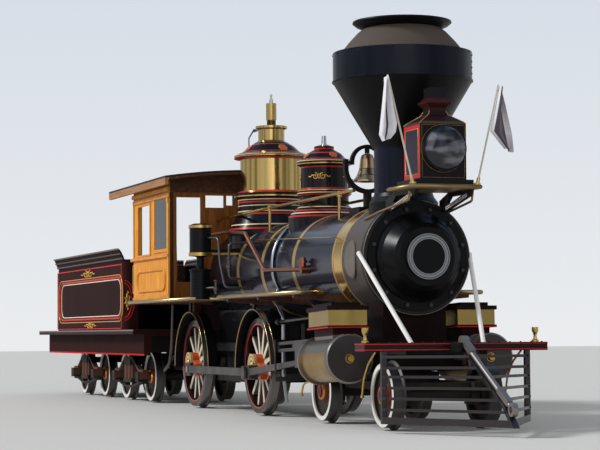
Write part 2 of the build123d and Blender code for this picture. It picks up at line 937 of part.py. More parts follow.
def bell_stand():
    """The curved cradle of the bell on its saddle."""
    ring = upright_ring(stand_ring_drop, stand_ring_radius, stand_ring_width, 56)
    ring_z = bell_pivot_z - stand_ring_drop
    ring = ring - block(bell_x - 60, bell_x + 60, -300, 300, ring_z, ring_z + 400)
    ring_low = ring_z - stand_ring_radius
    boiler_top = boiler_z + boiler_radius
    pieces = [ring, drum_z(bell_x, 0, boiler_z + 300, ring_low + 20, 45)]
    pieces.append(block(bell_x - 150, bell_x + 150, -150, 150, boiler_z + 300, boiler_top + 30))
    for side in (-1, 1):
        pieces.append(block(bell_x - 28, bell_x + 28, side * (stand_ring_radius - stand_ring_width),
                            side * stand_ring_radius, ring_z - 2, bell_pivot_z + 34))
    stand = joined(pieces) - drum_x(bell_x - 300, bell_x + 300, 0, boiler_z, boiler_radius)
    return stand - drum_y(bell_x, -400, 400, bell_pivot_z, trunnion_radius + pin_clearance)


# Headlight and flags

shelf_rear_x = 3545
shelf_length = 605
shelf_front_x = shelf_rear_x + shelf_length
shelf_half_width = 355
shelf_bottom_z = 2255
shelf_thickness = 42
lamp_rear_x = shelf_rear_x + 120
lamp_length = 415
lamp_front_x = lamp_rear_x + lamp_length
lamp_half_width = 236
lamp_ring_length = 55
lamp_base_z = 2345
lamp_top_z = 2880
lens_z = 2640
lens_radius = 192
lens_ring_width = 26


def headlight_bracket():
    """The shelf and the two cut out brackets that stand it off the smokebox."""
    shelf = block(shelf_rear_x, shelf_front_x, -shelf_half_width, shelf_half_width,
                  shelf_bottom_z, shelf_bottom_z + shelf_thickness)
    pieces = [shelf]
    base = block(lamp_rear_x - 25, lamp_front_x + 25, -300, 300, shelf_bottom_z + shelf_thickness, lamp_base_z)
    pieces.append(base)
    for side in (-1, 1):
        leg = side_plate(
            [
                (smokebox_front_x - 60, boiler_z + 470),
                (smokebox_front_x - 60, boiler_z + 560),
                (shelf_rear_x, shelf_bottom_z),
                (shelf_front_x - 30, shelf_bottom_z),
                (shelf_front_x - 80, shelf_bottom_z - 60),
                (smokebox_front_x + 60, boiler_z + 440),
            ],
            side * 268,
            side * 300,
        )
        hole = side_plate(
            [
                (shelf_rear_x - 20, boiler_z + 530),
                (shelf_rear_x + 60, shelf_bottom_z - 40),
                (shelf_front_x - 260, shelf_bottom_z - 40),
                (shelf_rear_x + 60, boiler_z + 520),
            ],
            side * 250,
            side * 320,
        )
        leg = leg - hole
        leg = leg - turned_along_x(
            [(smokebox_front_x - 200, 0), (smokebox_front_x - 200, smokebox_ring_radius),
             (smokebox_front_x, smokebox_ring_radius), (smokebox_front_x, 0)], 0, boiler_z)
        pieces.append(leg)
    return joined(pieces)


def headlight():
    """The lamp case with its ogee roof, cornice and chimney box."""
    case = block(lamp_rear_x, lamp_front_x, -lamp_half_width, lamp_half_width, lamp_base_z, lamp_top_z)
    middle_x = (lamp_rear_x + lamp_front_x) / 2
    steps = (
        # part of the half length, half width, height
        (1, lamp_half_width, lamp_top_z),
        (0.94, 220, 2897),
        (0.68, 155, 2938),
        (0.46, 102, 2972),
        (0.38, 84, 3012),
        (0.38, 84, 3044),
        (0.56, 124, 3082),
        (0.56, 124, 3096),
        (0.38, 84, 3136),
        (0.38, 84, 3142),
    )
    pieces = [case]
    for lower, upper in zip(steps[:-1], steps[1:]):
        low = Plane.XY.offset(lower[2]) * Pos(middle_x, 0)
        high = Plane.XY.offset(upper[2]) * Pos(middle_x, 0)
        bottom = low * Rectangle(lower[0] * lamp_length, lower[1] * 2)
        top = high * Rectangle(upper[0] * lamp_length, upper[1] * 2)
        pieces.append(loft([bottom, top]))
    pieces.append(block(middle_x - 78, middle_x + 78, -78, 78, 3140, 3238))
    body = joined(pieces)
    lens_rear = lamp_front_x - 60
    lens_front = lamp_front_x + lamp_ring_length
    body = body - drum_x(lens_rear, lens_front, 0, lens_z, lens_radius)
    ring = drum_x(lamp_front_x, lens_front, 0, lens_z, lens_radius + lens_ring_width)
    ring = ring - drum_x(lens_rear, lens_front + 20, 0, lens_z, lens_radius)
    return body + ring


def headlight_lens():
    """The round glass of the headlight."""
    return drum_x(lamp_front_x - 60, lamp_front_x + lamp_ring_length - 15, 0, lens_z, lens_radius)


flag_staff_radius = 9
flag_feet = (
    # foot x, foot y, top x, top y, top z
    (4120, -330, 4040, -545, 3330),
    (4120, 330, 4120, 560, 3260),
)


def flag_staffs():
    """Two staffs in their sockets at the front corners of the shelf."""
    pieces = []
    shelf_top = shelf_bottom_z + shelf_thickness
    for foot_x, foot_y, top_x, top_y, top_z in flag_feet:
        foot = Vector(foot_x, foot_y, shelf_top)
        top = Vector(top_x, top_y, top_z)
        staff = strut(foot, top, flag_staff_radius)
        socket = strut(foot, foot + (top - foot) * 0.07, 17)
        cap = drum_z(foot_x, foot_y, shelf_top, shelf_top + 16, 32)
        piece = joined([socket, cap, staff])
        pieces.append(piece - block(foot_x - 100, foot_x + 100, foot_y - 100, foot_y + 100,
                                    shelf_top - 60, shelf_top))
    return pieces


flag_width = 300
flag_drop = 560


def flag(number):
    """A flag hanging in folds beside its staff, as one soft solid."""
    foot_x, foot_y, top_x, top_y, top_z = flag_feet[number]
    side = 1 if foot_y > 0 else -1
    high = top_z - 30
    low = high - flag_drop
    shelf_top = shelf_bottom_z + shelf_thickness
    outline = [
        (0, high),
        (80, high - 60),
        (flag_width * 0.6, low + 40),
        (flag_width * 0.3, low),
        (0, low + 260),
    ]
    corners = []
    for out, height in outline:
        share = (height - shelf_top) / (top_z - shelf_top)
        corners.append((foot_y + (top_y - foot_y) * share + side * out, height))
    middle_z = (high + low) / 2
    middle_x = foot_x + (top_x - foot_x) * (middle_z - shelf_top) / (top_z - shelf_top)
    cloth = cross_plate(corners, middle_x - 40, middle_x + 40)
    staff = strut(Vector(foot_x, foot_y, shelf_top), Vector(top_x, top_y, top_z), flag_staff_radius)
    return cloth - staff


# Boards, splashers and cab


board_bracket_x = (150, 1270, 2440)


def running_boards():
    """The front running boards on their brackets."""
    pieces = []
    for side in (-1, 1):
        plank = block(front_board_rear_x, front_board_front_x, side * front_board_inner_y,
                      side * board_half_width, board_bottom_z, board_top_z)
        front_edges = plank.edges().filter_by(Axis.Z).sort_by(Axis.X)[-2:]
        inner_edge = front_edges.sort_by(lambda edge: abs(edge.center().Y))[0]
        board = [fillet([inner_edge], front_board_corner)]
        corners = [(350, board_bottom_z), (960, board_bottom_z), (960, board_bottom_z - 30),
                   (350, board_bottom_z - 85)]
        corners = [(side * y, z) for y, z in corners]
        for x in board_bracket_x:
            board.append(cross_plate(corners, x - 20, x + 20))
        pieces.append(joined(board) - drum_x(-500, 3000, 0, boiler_z, boiler_radius))
    return pieces


splasher_radius = 655
splasher_forward = 60
splasher_centre_z = 515
splasher_outer_y = 640


def splashers():
    """The curved guards over the driving wheels, hung from the boards."""
    pieces = []
    radius = splasher_radius
    z = splasher_centre_z
    for axle_x in (-driver_wheelbase, 0):
        x = axle_x + splasher_forward
        for side in (-1, 1):
            band = drum_y(x, side * 470, side * splasher_outer_y, z, radius)
            band = band - drum_y(x, side * 440, side * (splasher_outer_y + 20), z, radius - 14)
            band = band - block(x - 720, x + 720, side * 400, side * 700, -200, z - 30)
            hanger = block(x - 35, x + 35, side * 602, side * 626, z + radius - 12, board_bottom_z)
            pieces.append(band + hanger)
    return pieces


deck_post_x = (frame_rear_x + 60, frame_rear_x + 240)


def cab_deck():
    """The cab floor with the side boards that run forward of it."""
    floor = block(cab_rear_x, firebox_rear_x, -cab_board_half_width, cab_board_half_width,
                  board_bottom_z, board_top_z)
    pieces = [floor]
    for side in (-1, 1):
        pieces.append(
            block(firebox_rear_x, cab_board_front_x, side * 600, side * cab_board_half_width,
                  board_bottom_z, board_top_z)
        )
        for x in deck_post_x:
            pieces.append(
                block(x, x + 70, side * frame_half_gap, side * frame_outer_y,
                      top_rail_z + top_rail_height, board_bottom_z)
            )
    for side in (-1, 1):
        pieces.append(block(cab_rear_x + 120, -3000, side * 560, side * 960, board_top_z, board_top_z + 420))
    return joined(pieces)


window_rear_x = -3468
window_front_x = -2895
door_rear_x = -2563
door_front_x = -2132
door_window_bottom_z = 1962
window_top_z = 2550
front_window_table = (
    # inner y, outer y, bottom, top
    (656, 966, 1530, 2563),
    (360, 600, 2440, 2590),
    (245, 335, 2470, 2590),
)


def cab_walls():
    """Side walls with their windows, and the front wall round the boiler."""
    pieces = []
    for side in (-1, 1):
        inner = side * (cab_half_width - cab_wall)
        outer = side * cab_half_width
        wall = block(cab_rear_x + 60, cab_front_x, inner, outer, board_top_z, cab_wall_top_z)
        wall = wall - block(window_rear_x, window_front_x, inner * 0.9, outer * 1.1, cab_sill_z,
                            window_top_z)
        wall = wall - block(door_rear_x, door_front_x, inner * 0.9, outer * 1.1,
                            door_window_bottom_z, window_top_z)
        pieces.append(wall)
    front = block(cab_front_x - cab_wall, cab_front_x, -cab_half_width, cab_half_width,
                  board_top_z, cab_wall_top_z)
    front = front - drum_x(cab_front_x - 100, cab_front_x + 100, 0, boiler_z, boiler_radius)
    front = front - block(cab_front_x - 100, cab_front_x + 100, -boiler_radius, boiler_radius,
                          board_top_z - 100, boiler_z)
    for side in (-1, 1):
        for inner, outer, low, high in front_window_table:
            front = front - block(cab_front_x - 100, cab_front_x + 100, side * inner, side * outer, low, high)
    pieces.append(front)
    return joined(pieces)


def cab_roof():
    """The arched roof with its side fascia."""
    radius = (roof_half_width**2 + roof_rise**2) / (2 * roof_rise)
    centre_z = roof_eave_z + roof_rise - radius
    skin = drum_x(roof_rear_x, roof_front_x, 0, centre_z, radius)
    skin = skin - drum_x(roof_rear_x - 10, roof_front_x + 10, 0, centre_z, radius - roof_thickness)
    keep = block(roof_rear_x, roof_front_x, -roof_half_width, roof_half_width, 2000, 4000)
    skin = skin & keep
    pieces = [skin]
    for side in (-1, 1):
        pieces.append(
            block(roof_rear_x, roof_front_x, side * (roof_half_width - 40), side * roof_half_width,
                  roof_eave_z - 105, roof_eave_z - 10)
        )
    edge = block(cab_rear_x + 60, cab_front_x, -cab_half_width, cab_half_width, cab_wall_top_z,
                 cab_wall_top_z + 500)
    edge = edge - block(cab_rear_x, cab_front_x - cab_wall, -cab_half_width + cab_wall,
                        cab_half_width - cab_wall, cab_wall_top_z - 10, cab_wall_top_z + 510)
    edge = edge & drum_x(roof_rear_x, roof_front_x, 0, centre_z, radius - roof_thickness / 2)
    pieces.append(edge)
    return joined(pieces)


# Air pump, pipes, rails and braces

pump_x = -960
pump_y = -950
pump_table = (
    # radius, height
    (0, 1295),
    (128, 1295),
    (128, 1318),
    (116, 1320),
    (116, 1625),
    (130, 1630),
    (130, 1648),
    (64, 1665),
    (44, 1675),
    (44, 1790),
    (64, 1800),
    (136, 1806),
    (136, 1845),
    (126, 1850),
    (126, 2128),
    (136, 2132),
    (136, 2165),
    (80, 2185),
    (0, 2190),
)
pump_bracket_z = (1450, 1850)


def air_pump():
    """The upright air pump, bracketed to the side of the boiler."""
    pieces = [Pos(0, pump_y, 0) * turned(pump_table, pump_x, 0)]
    for height in pump_bracket_z:
        pieces.append(block(pump_x - 60, pump_x + 60, pump_y + 80, -400, height - 30, height + 30))
    board_edge = block(pump_x - 200, cab_board_front_x, -cab_board_half_width, -600, board_bottom_z,
                       board_top_z)
    pump = joined(pieces) - drum_x(pump_x - 300, pump_x + 300, 0, boiler_z, boiler_radius)
    return pump - board_edge


handrail_radius = 17
handrail_bend = 150
handrail_line = (
    # x, distance from the middle, height
    (cab_front_x, 450, 2285),
    (-880, 440, 2305),
    (-480, 315, 2335),
    (2440, 292, 2350),
)
handrail_post_x = (-285, 2000)


def handrail_place(x):
    """Where the straight front part of the rail is, at an X."""
    start, end = handrail_line[2], handrail_line[3]
    share = (x - start[0]) / (end[0] - start[0])
    return start[1] + (end[1] - start[1]) * share, start[2] + (end[2] - start[2]) * share


def handrails():
    """The rail along each side of the boiler, on its pillars."""
    pieces = []
    for side in (-1, 1):
        line = [Vector(x, side * out, height) for x, out, height in handrail_line]
        rail = [bent_bar(line, handrail_radius, handrail_bend)]
        for x in handrail_post_x:
            out, height = handrail_place(x)
            rail.append(drum_z(x, side * out, boiler_z + 200, height, 14))
            rail.append(drum_z(x, side * out, height - 34, height + 24, 25))
        piece = joined(rail) - drum_x(-3000, 3000, 0, boiler_z, boiler_radius)
        pieces.append(piece - block(cab_front_x - 100, cab_front_x, side * 300, side * 600, 2200, 2400))
    return pieces


brace_radius = 22
brace_top_inset = 54
brace_top_y = 583
brace_foot_x = 4150
brace_foot_y = 364


def braces():
    """The two struts from the smokebox ring down to the beam."""
    pieces = []
    for side in (-1, 1):
        top = Vector(smokebox_front_x - brace_top_inset, side * brace_top_y, boiler_z + 35)
        foot = Vector(brace_foot_x, side * brace_foot_y, beam_top_z - 20)
        bar = strut(top, foot, brace_radius)
        bar = bar + Pos(top) * Sphere(brace_radius + 4)
        bar = bar - block(beam_rear_x - 100, beam_front_x, side * 100, side * 700, 0, beam_top_z)
        bar = bar - turned_along_x(
            [(smokebox_rear_x, 0), (smokebox_rear_x, smokebox_radius),
             (smokebox_front_x - smokebox_ring_width, smokebox_radius),
             (smokebox_front_x - smokebox_ring_width, smokebox_ring_radius),
             (smokebox_front_x, smokebox_ring_radius), (smokebox_front_x, 0)], 0, boiler_z)
        pieces.append(bar)
    return pieces


feed_pipe_radius = 22
feed_pipe_line = (
    # x, distance from the middle, height
    (cab_front_x, 640, 2085),
    (-744, 700, 2080),
    (62, 720, 2028),
    (773, 720, 1585),
    (1700, 606, 1565),
)
feed_pipe_bend = 90
check_valve_x = 1700


def feed_pipes():
    """The feed pipe on each side, from the cab to its check valve."""
    pieces = []
    for side in (-1, 1):
        line = [Vector(x, side * out, height) for x, out, height in feed_pipe_line]
        pipe = [bent_bar(line, feed_pipe_radius, feed_pipe_bend)]
        pipe.append(drum_y(check_valve_x, side * 450, side * 620, 1565, 44))
        pipe.append(drum_z(check_valve_x, side * 600, 1540, 1690, 34))
        pipe.append(drum_z(check_valve_x, side * 600, 1636, 1660, 50))
        piece = joined(pipe) - drum_x(-3000, 3000, 0, boiler_z, boiler_radius)
        pieces.append(piece - block(cab_front_x - 100, cab_front_x, side * 500, side * 800, 1900, 2200))
    return pieces


rocker_x = 1140
valve_rod_height = 448


def valve_rods():
    """The valve stem of each steam chest and the rocker that works it."""
    pieces = []
    stem_y = cylinder_y - chest_inboard
    rail_top = top_rail_z + top_rail_height
    for side in (-1, 1):
        stem = tilted(drum_x(rocker_x, chest_rear_x, side * stem_y, valve_rod_height, 15))
        gland = tilted(drum_x(chest_rear_x - 90, chest_rear_x, side * stem_y, valve_rod_height, 28))
        end = tilted(drum_x(rocker_x - 40, rocker_x + 50, side * stem_y, valve_rod_height, 30))
        shaft_z = driver_radius + valve_rod_height + rocker_x * math.tan(math.radians(cylinder_tilt))
        shaft = drum_y(rocker_x, side * (frame_half_gap + 5), side * (stem_y + 22), shaft_z, 24)
        stand = block(rocker_x - 60, rocker_x + 60, side * (frame_half_gap + 5), side * (frame_outer_y - 5),
                      rail_top, shaft_z + 45)
        pieces.append(joined([stem, gland, end, shaft, stand]))
    return pieces


# Leading truck


def truck_frame_bars(middle_x, wheelbase, inner_y, outer_y, axle_z, low, high):
    """Two side bars with boxes at the axles."""
    pieces = []
    for side in (-1, 1):
        pieces.append(
            block(middle_x - wheelbase / 2 - 160, middle_x + wheelbase / 2 + 160, side * inner_y,
                  side * outer_y, low, high)
        )
        for hand in (-1, 1):
            x = middle_x + hand * wheelbase / 2
            pieces.append(block(x - 90, x + 90, side * inner_y, side * outer_y, axle_z - 95, high))
    return pieces


lead_bar_inner_y = 325
lead_bar_outer_y = 412
lead_bar_bottom_z = 345
lead_bar_height = 80
lead_bar_overlap = 5
lead_tie_half = 30
lead_bolster_half = 150
truck_seat_gap = 8


def lead_truck_frame():
    """The leading truck's frame with its bolster and pin hole."""
    axle_z = lead_wheel_radius
    high = lead_bar_bottom_z + lead_bar_height
    tie_y = lead_bar_inner_y + lead_bar_overlap
    half = lead_bolster_half
    pieces = truck_frame_bars(lead_truck_x, lead_truck_wheelbase, lead_bar_inner_y, lead_bar_outer_y,
                              axle_z, lead_bar_bottom_z, high)
    pieces.append(block(lead_truck_x - half, lead_truck_x + half, -tie_y, tie_y, truck_bolster_bottom_z - 60,
                        saddle_bottom_z - truck_seat_gap))
    tie_reach = lead_truck_wheelbase / 2 + 40
    for x in (lead_truck_x - tie_reach, lead_truck_x + tie_reach):
        pieces.append(block(x - lead_tie_half, x + lead_tie_half, -tie_y, tie_y,
                            lead_bar_bottom_z + 5, high - 5))
    frame = joined(pieces)
    frame = frame - drum_z(lead_truck_x, 0, truck_bolster_bottom_z - 80, 700, centre_pin_radius + 1)
    for hand in (-1, 1):
        x = lead_truck_x + hand * lead_truck_wheelbase / 2
        frame = frame - drum_y(x, -600, 600, axle_z, truck_axle_radius + axle_clearance)
    return frame


# Tender


def tender_frame():
    """Sills, end beams, bolsters, deck, drawbar and rear coupler."""
    pieces = [
        block(tender_rear_x, tender_front_x, -tender_deck_half_width, tender_deck_half_width,
              tender_deck_z, tender_deck_z + tender_deck_thickness)
    ]
    inner = tender_sill_outer_y - tender_sill_width
    for side in (-1, 1):
        pieces.append(
            block(tender_rear_x + 60, tender_front_x, side * inner, side * tender_sill_outer_y,
                  tender_sill_bottom_z, tender_deck_z)
        )
        pieces.append(
            block(tender_rear_x + 60, tender_front_x, side * 110, side * 200, 760, tender_deck_z)
        )
    for x in (tender_rear_x + 60, tender_front_x - 90):
        pieces.append(block(x, x + 90, -inner - 5, inner + 5, tender_sill_bottom_z + 40, tender_deck_z))
    for x in tender_truck_x:
        pieces.append(block(x - 130, x + 130, -inner - 5, inner + 5, 720, tender_deck_z))
        pieces.append(drum_z(x, 0, 560, 730, centre_pin_radius))
        pieces.append(drum_z(x, 0, 642, 730, 150))
    bar = block(tender_front_x - 90, drawbar_pin_x, -55, 55, drawbar_z - 30, drawbar_z + 30)
    bar_root = block(tender_front_x - 90, tender_front_x, -90, 90, drawbar_z - 50, 760)
    eye = drum_z(drawbar_pin_x, 0, drawbar_z - 30, drawbar_z + 30, 78)
    coupler = block(coupler_face_x, tender_rear_x + 70, -110, 110, drawbar_z + 30, drawbar_z + 170)
    coupler = coupler - block(coupler_face_x - 10, coupler_face_x + 150, -60, 60, drawbar_z + 60,
                              drawbar_z + 140)
    coupler = coupler - drum_z(coupler_face_x + 75, 0, 600, 900, link_pin_radius)
    pieces.extend([bar, bar_root, eye, coupler])
    frame = joined(pieces)
    return frame - drum_z(drawbar_pin_x, 0, 500, 800, drawbar_pin_radius + 1)


link_pin_radius = 20
tank_bottom_z = tender_deck_z + tender_deck_thickness


def tender_tank():
    """The horseshoe tank round the fuel space."""
    tank = block(tank_rear_x, tank_front_x, -tank_half_width, tank_half_width, tank_bottom_z, tank_top_z)
    vertical = tank.edges().filter_by(Axis.Z)
    tank = fillet(vertical, 110)
    space = block(fuel_space_rear_x, tank_front_x + 10, -tank_half_width + tank_leg_width,
                  tank_half_width - tank_leg_width, tank_bottom_z - 10, tank_top_z + 10)
    return tank - space


board_bead_radius = 12
board_bead_shares = (0.08, 0.5, 0.94)
board_corner = 110


def tender_boards():
    """The flared boards round the top of the tank, beaded along their length."""
    start = tank_rear_x + 40
    end = tank_front_x - 40
    top = tank_top_z + flare_height
    low = [(-tank_half_width, tank_top_z), (-tank_half_width - flare_spread, top),
           (-tank_half_width - flare_spread + 20, top), (-tank_half_width + 24, tank_top_z)]
    side = cross_plate(low, start, end)
    for share in board_bead_shares:
        y = -tank_half_width - flare_spread * share
        z = tank_top_z + flare_height * share
        side = side + strut(Vector(start, y, z), Vector(end, y, z), board_bead_radius)
    corner = block(end - board_corner, end + 10, -tank_half_width - 100, 0, top - board_corner, top + 40)
    corner = corner - drum_y(end - board_corner, -tank_half_width - 120, 10, top - board_corner, board_corner)
    side = side - corner
    back = block(tank_rear_x, tank_rear_x + 40, -tank_half_width, tank_half_width, tank_top_z, top)
    return joined([side, mirrored(side), back])


tender_axle_z = tender_wheel_radius
arch_bar_inner_y = 622
arch_bar_outer_y = 692
journal_box_inner_y = 600
journal_box_outer_y = 745


def tender_truck_frame(x):
    """An arch bar truck frame with its bolster, springs and journal boxes."""
    half = tender_truck_wheelbase / 2
    pieces = []
    for side in (-1, 1):
        y0 = side * arch_bar_inner_y
        y1 = side * arch_bar_outer_y
        arch_bar = side_plate(
            [
                (x - half - 110, tender_axle_z + 90),
                (x - half + 110, tender_axle_z + 90),
                (x - 210, 590),
                (x + 210, 590),
                (x + half - 110, tender_axle_z + 90),
                (x + half + 110, tender_axle_z + 90),
                (x + half + 110, tender_axle_z + 60),
                (x + half - 120, tender_axle_z + 60),
                (x + 190, 560),
                (x - 190, 560),
                (x - half + 120, tender_axle_z + 60),
                (x - half - 110, tender_axle_z + 60),
            ],
            y0,
            y1,
        )
        low_bar = side_plate(
            [
                (x - half - 100, tender_axle_z - 70),
                (x - half + 100, tender_axle_z - 70),
                (x - 200, 200),
                (x + 200, 200),
                (x + half - 100, tender_axle_z - 70),
                (x + half + 100, tender_axle_z - 70),
                (x + half + 100, tender_axle_z - 100),
                (x + half - 110, tender_axle_z - 100),
                (x + 190, 170),
                (x - 190, 170),
                (x - half + 110, tender_axle_z - 100),
                (x - half - 100, tender_axle_z - 100),
            ],
            y0,
            y1,
        )
        pieces.extend([arch_bar, low_bar])
        for hand in (-1, 1):
            axle_x = x + hand * half
            pieces.append(block(axle_x - 80, axle_x + 80, side * journal_box_inner_y,
                                side * journal_box_outer_y, tender_axle_z - 72, tender_axle_z + 62))
            pieces.append(block(x + hand * 200 - 22, x + hand * 200 + 22, y0, y1, 180, 580))
        for offset in (-90, 90):
            pieces.append(drum_z(x + offset, side * (arch_bar_inner_y + arch_bar_outer_y) / 2, 290, 480, 62))
        pieces.append(block(x - 215, x + 215, side * 600, side * 712, 240, 292))
    pieces.append(block(x - 170, x + 170, -710, 710, 478, 562))
    pieces.append(block(x - 170, x + 170, -240, 240, 555, 634))
    frame = joined(pieces)
    frame = frame - drum_z(x, 0, 500, 700, centre_pin_radius + 1)
    for hand in (-1, 1):
        hole = drum_y(x + hand * half, -tender_axle_end_y - 1, tender_axle_end_y + 1, tender_axle_z,
                      truck_axle_radius + axle_clearance)
        frame = frame - hole
    return frame


# Everything is written out, one file for each piece

os.makedirs("parts", exist_ok=True)

save("main_driver_wheels", [driver_set(0)])
save("rear_driver_wheels", [driver_set(-driver_wheelbase)])
for name, hand in (("front", 1), ("rear", -1)):
    axle_x = lead_truck_x + hand * lead_truck_wheelbase / 2
    save(f"lead_wheels_{name}", [plate_wheel_set(axle_x, lead_wheel_radius, lead_axle_end_y)])
for number, truck_x in enumerate(tender_truck_x, start=1):
    for place, hand in (("front", 1), ("rear", -1)):
        axle_x = truck_x + hand * tender_truck_wheelbase / 2
        wheels = plate_wheel_set(axle_x, tender_wheel_radius, tender_axle_end_y)
        save(f"tender_wheels_{number}_{place}", [wheels])
    save(f"tender_truck_frame_{number}", [tender_truck_frame(truck_x)])

for name, side, crank_angle in (("right", -1, right_crank_angle), ("left", 1, left_crank_angle)):
    save(f"side_rod_{name}", [side_rod(side, crank_angle)])
    save(f"main_rod_{name}", [main_rod(side, crank_angle)])
    save(f"crosshead_{name}", [crosshead(side, crank_angle)])

save("engine_frame", [engine_frame()])
save("pilot_beam", [pilot_beam()])
save("pilot", [pilot()])
save("draw_bar", [draw_bar()])
save("cylinders", [cylinder_block()])
save("crosshead_guides", guides())
save("boiler", [boiler()])
save("smokebox", [smokebox()])
save("smokebox_door", [smokebox_door()])
save("stack", [stack()])
save("sand_dome", [dome(sand_dome_table, sand_dome_x)])
save("steam_dome", [dome(steam_dome_table, steam_dome_x)])
save("safety_valves", [safety_valves()])
save("bell", [bell()])
save("bell_stand", [bell_stand()])
save("headlight_bracket", [headlight_bracket()])
save("headlight", [headlight()])
save("headlight_lens", [headlight_lens()])
save("flag_staffs", flag_staffs())
save("flag_right", [flag(0)])
save("flag_left", [flag(1)])
save("running_boards", running_boards())
save("splashers", splashers())
save("cab_deck", [cab_deck()])
save("cab_walls", [cab_walls()])
save("cab_roof", [cab_roof()])
save("air_pump", [air_pump()])
save("handrails", handrails())
save("braces", braces())
save("feed_pipes", feed_pipes())
save("valve_rods", valve_rods())
save("lead_truck_frame", [lead_truck_frame()])
save("tender_frame", [tender_frame()])
save("tender_tank", [tender_tank()])
save("tender_boards", [tender_boards()])
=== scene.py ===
import math

import bmesh
import bpy
from mathutils import Matrix, Vector


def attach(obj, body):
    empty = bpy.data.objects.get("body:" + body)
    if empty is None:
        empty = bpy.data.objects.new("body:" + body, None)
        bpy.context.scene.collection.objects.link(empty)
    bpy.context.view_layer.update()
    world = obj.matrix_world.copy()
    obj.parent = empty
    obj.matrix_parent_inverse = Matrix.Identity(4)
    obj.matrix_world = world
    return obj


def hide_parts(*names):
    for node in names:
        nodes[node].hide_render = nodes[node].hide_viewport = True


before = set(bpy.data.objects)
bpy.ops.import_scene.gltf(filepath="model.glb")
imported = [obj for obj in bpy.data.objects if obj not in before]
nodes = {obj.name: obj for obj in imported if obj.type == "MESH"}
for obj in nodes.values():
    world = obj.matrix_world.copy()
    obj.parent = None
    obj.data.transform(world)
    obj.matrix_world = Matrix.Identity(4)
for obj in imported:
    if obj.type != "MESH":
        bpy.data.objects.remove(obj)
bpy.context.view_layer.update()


# Camera
# It stands low beside the track, ahead of the engine on its right, and looks
# back along it with a long lens.
camera_place = Vector((23.740, -7.414, 0.923))
camera_heading = 0.3299
camera_lift = 0.0541
camera_lean = -0.0066


def placed(name, data):
    """A new object in the scene."""
    thing = bpy.data.objects.new(name, data)
    bpy.context.collection.objects.link(thing)
    return thing


sight = Vector((
    -math.cos(camera_heading) * math.cos(camera_lift),
    math.sin(camera_heading) * math.cos(camera_lift),
    math.sin(camera_lift),
))
to_right = sight.cross(Vector((0, 0, 1))).normalized()
to_top = to_right.cross(sight)
cam_right = to_right * math.cos(camera_lean) + to_top * math.sin(camera_lean)
cam_top = to_top * math.cos(camera_lean) - to_right * math.sin(camera_lean)
lens = bpy.data.cameras.new("camera")
lens.sensor_fit = "HORIZONTAL"
lens.sensor_width = 36
lens.lens = 120
lens.clip_end = 400
camera = placed("camera", lens)
camera.matrix_world = (Matrix.Translation(camera_place)
                       @ Matrix((cam_right, cam_top, -sight)).transposed().to_4x4())
bpy.context.scene.camera = camera
bpy.context.scene.view_settings.view_transform = "Standard"


# Studio
# A pale floor, a pale world behind, one broad soft key light from the engine's
# right and a weaker one from ahead.


def shade(red, green, blue):
    """A display colour from 0 to 255 as the linear colour that the shaders take."""
    linear = []
    for value in (red, green, blue):
        share = value / 255
        linear.append(share / 12.92 if share <= 0.04045 else ((share + 0.055) / 1.055) ** 2.4)
    return (*linear, 1.0)


def feed(tree, value, socket):
    """Links a socket to another one, or gives it a plain value."""
    if isinstance(value, bpy.types.NodeSocket):
        tree.links.new(value, socket)
    else:
        socket.default_value = value


def node(tree, kind, feeds, **settings):
    """A new shader node; feeds gives each of its sockets a value or the socket that it comes from."""
    added = tree.nodes.new("ShaderNode" + kind)
    for label, value in settings.items():
        setattr(added, label, value)
    for label, value in feeds.items():
        feed(tree, value, added.inputs[label])
    return added


def mix_node(tree, kind, factor, first, second, **settings):
    """The result of a Mix node of colours or numbers."""
    place = 6 if kind == "RGBA" else 2
    mixer = node(tree, "Mix", {}, data_type=kind, **settings)
    for number, value in ((0, factor), (place, first), (place + 1, second)):
        feed(tree, value, mixer.inputs[number])
    return mixer.outputs[2 if kind == "RGBA" else 0]


def reckon(tree, operation, first, second=0.0, third=0.0, **settings):
    """The result of a Math node."""
    feeds = {0: first, 1: second, 2: third}
    return node(tree, "Math", feeds, operation=operation, **settings).outputs[0]


def colour_ramp(tree, value, *stops):
    """The colour of a ramp with two stops, each (position, colour)."""
    ramp = node(tree, "ValToRGB", {"Fac": value})
    for element, (position, colour) in zip(ramp.color_ramp.elements, stops):
        element.position = position
        element.color = colour
    return ramp.outputs["Color"]


def blank_material(name, **plain):
    """A material, its node tree and its shader, with plain values on the sockets that are named."""
    material = bpy.data.materials.new(name)
    material.use_nodes = True
    shader = material.node_tree.nodes["Principled BSDF"]
    for label, value in plain.items():
        shader.inputs[label.replace("_", " ")].default_value = value
    return material, material.node_tree, shader


floor_mesh = bpy.data.meshes.new("studio_floor")
floor_mesh.from_pydata(
    [(-90, -90, 0), (90, -90, 0), (90, 90, 0), (-90, 90, 0)], [], [(0, 1, 2, 3)]
)
studio_floor = placed("studio_floor", floor_mesh)
floor_paint = blank_material("floor_paint", Base_Color=shade(214, 214, 212), Roughness=0.9)[0]
floor_mesh.materials.append(floor_paint)

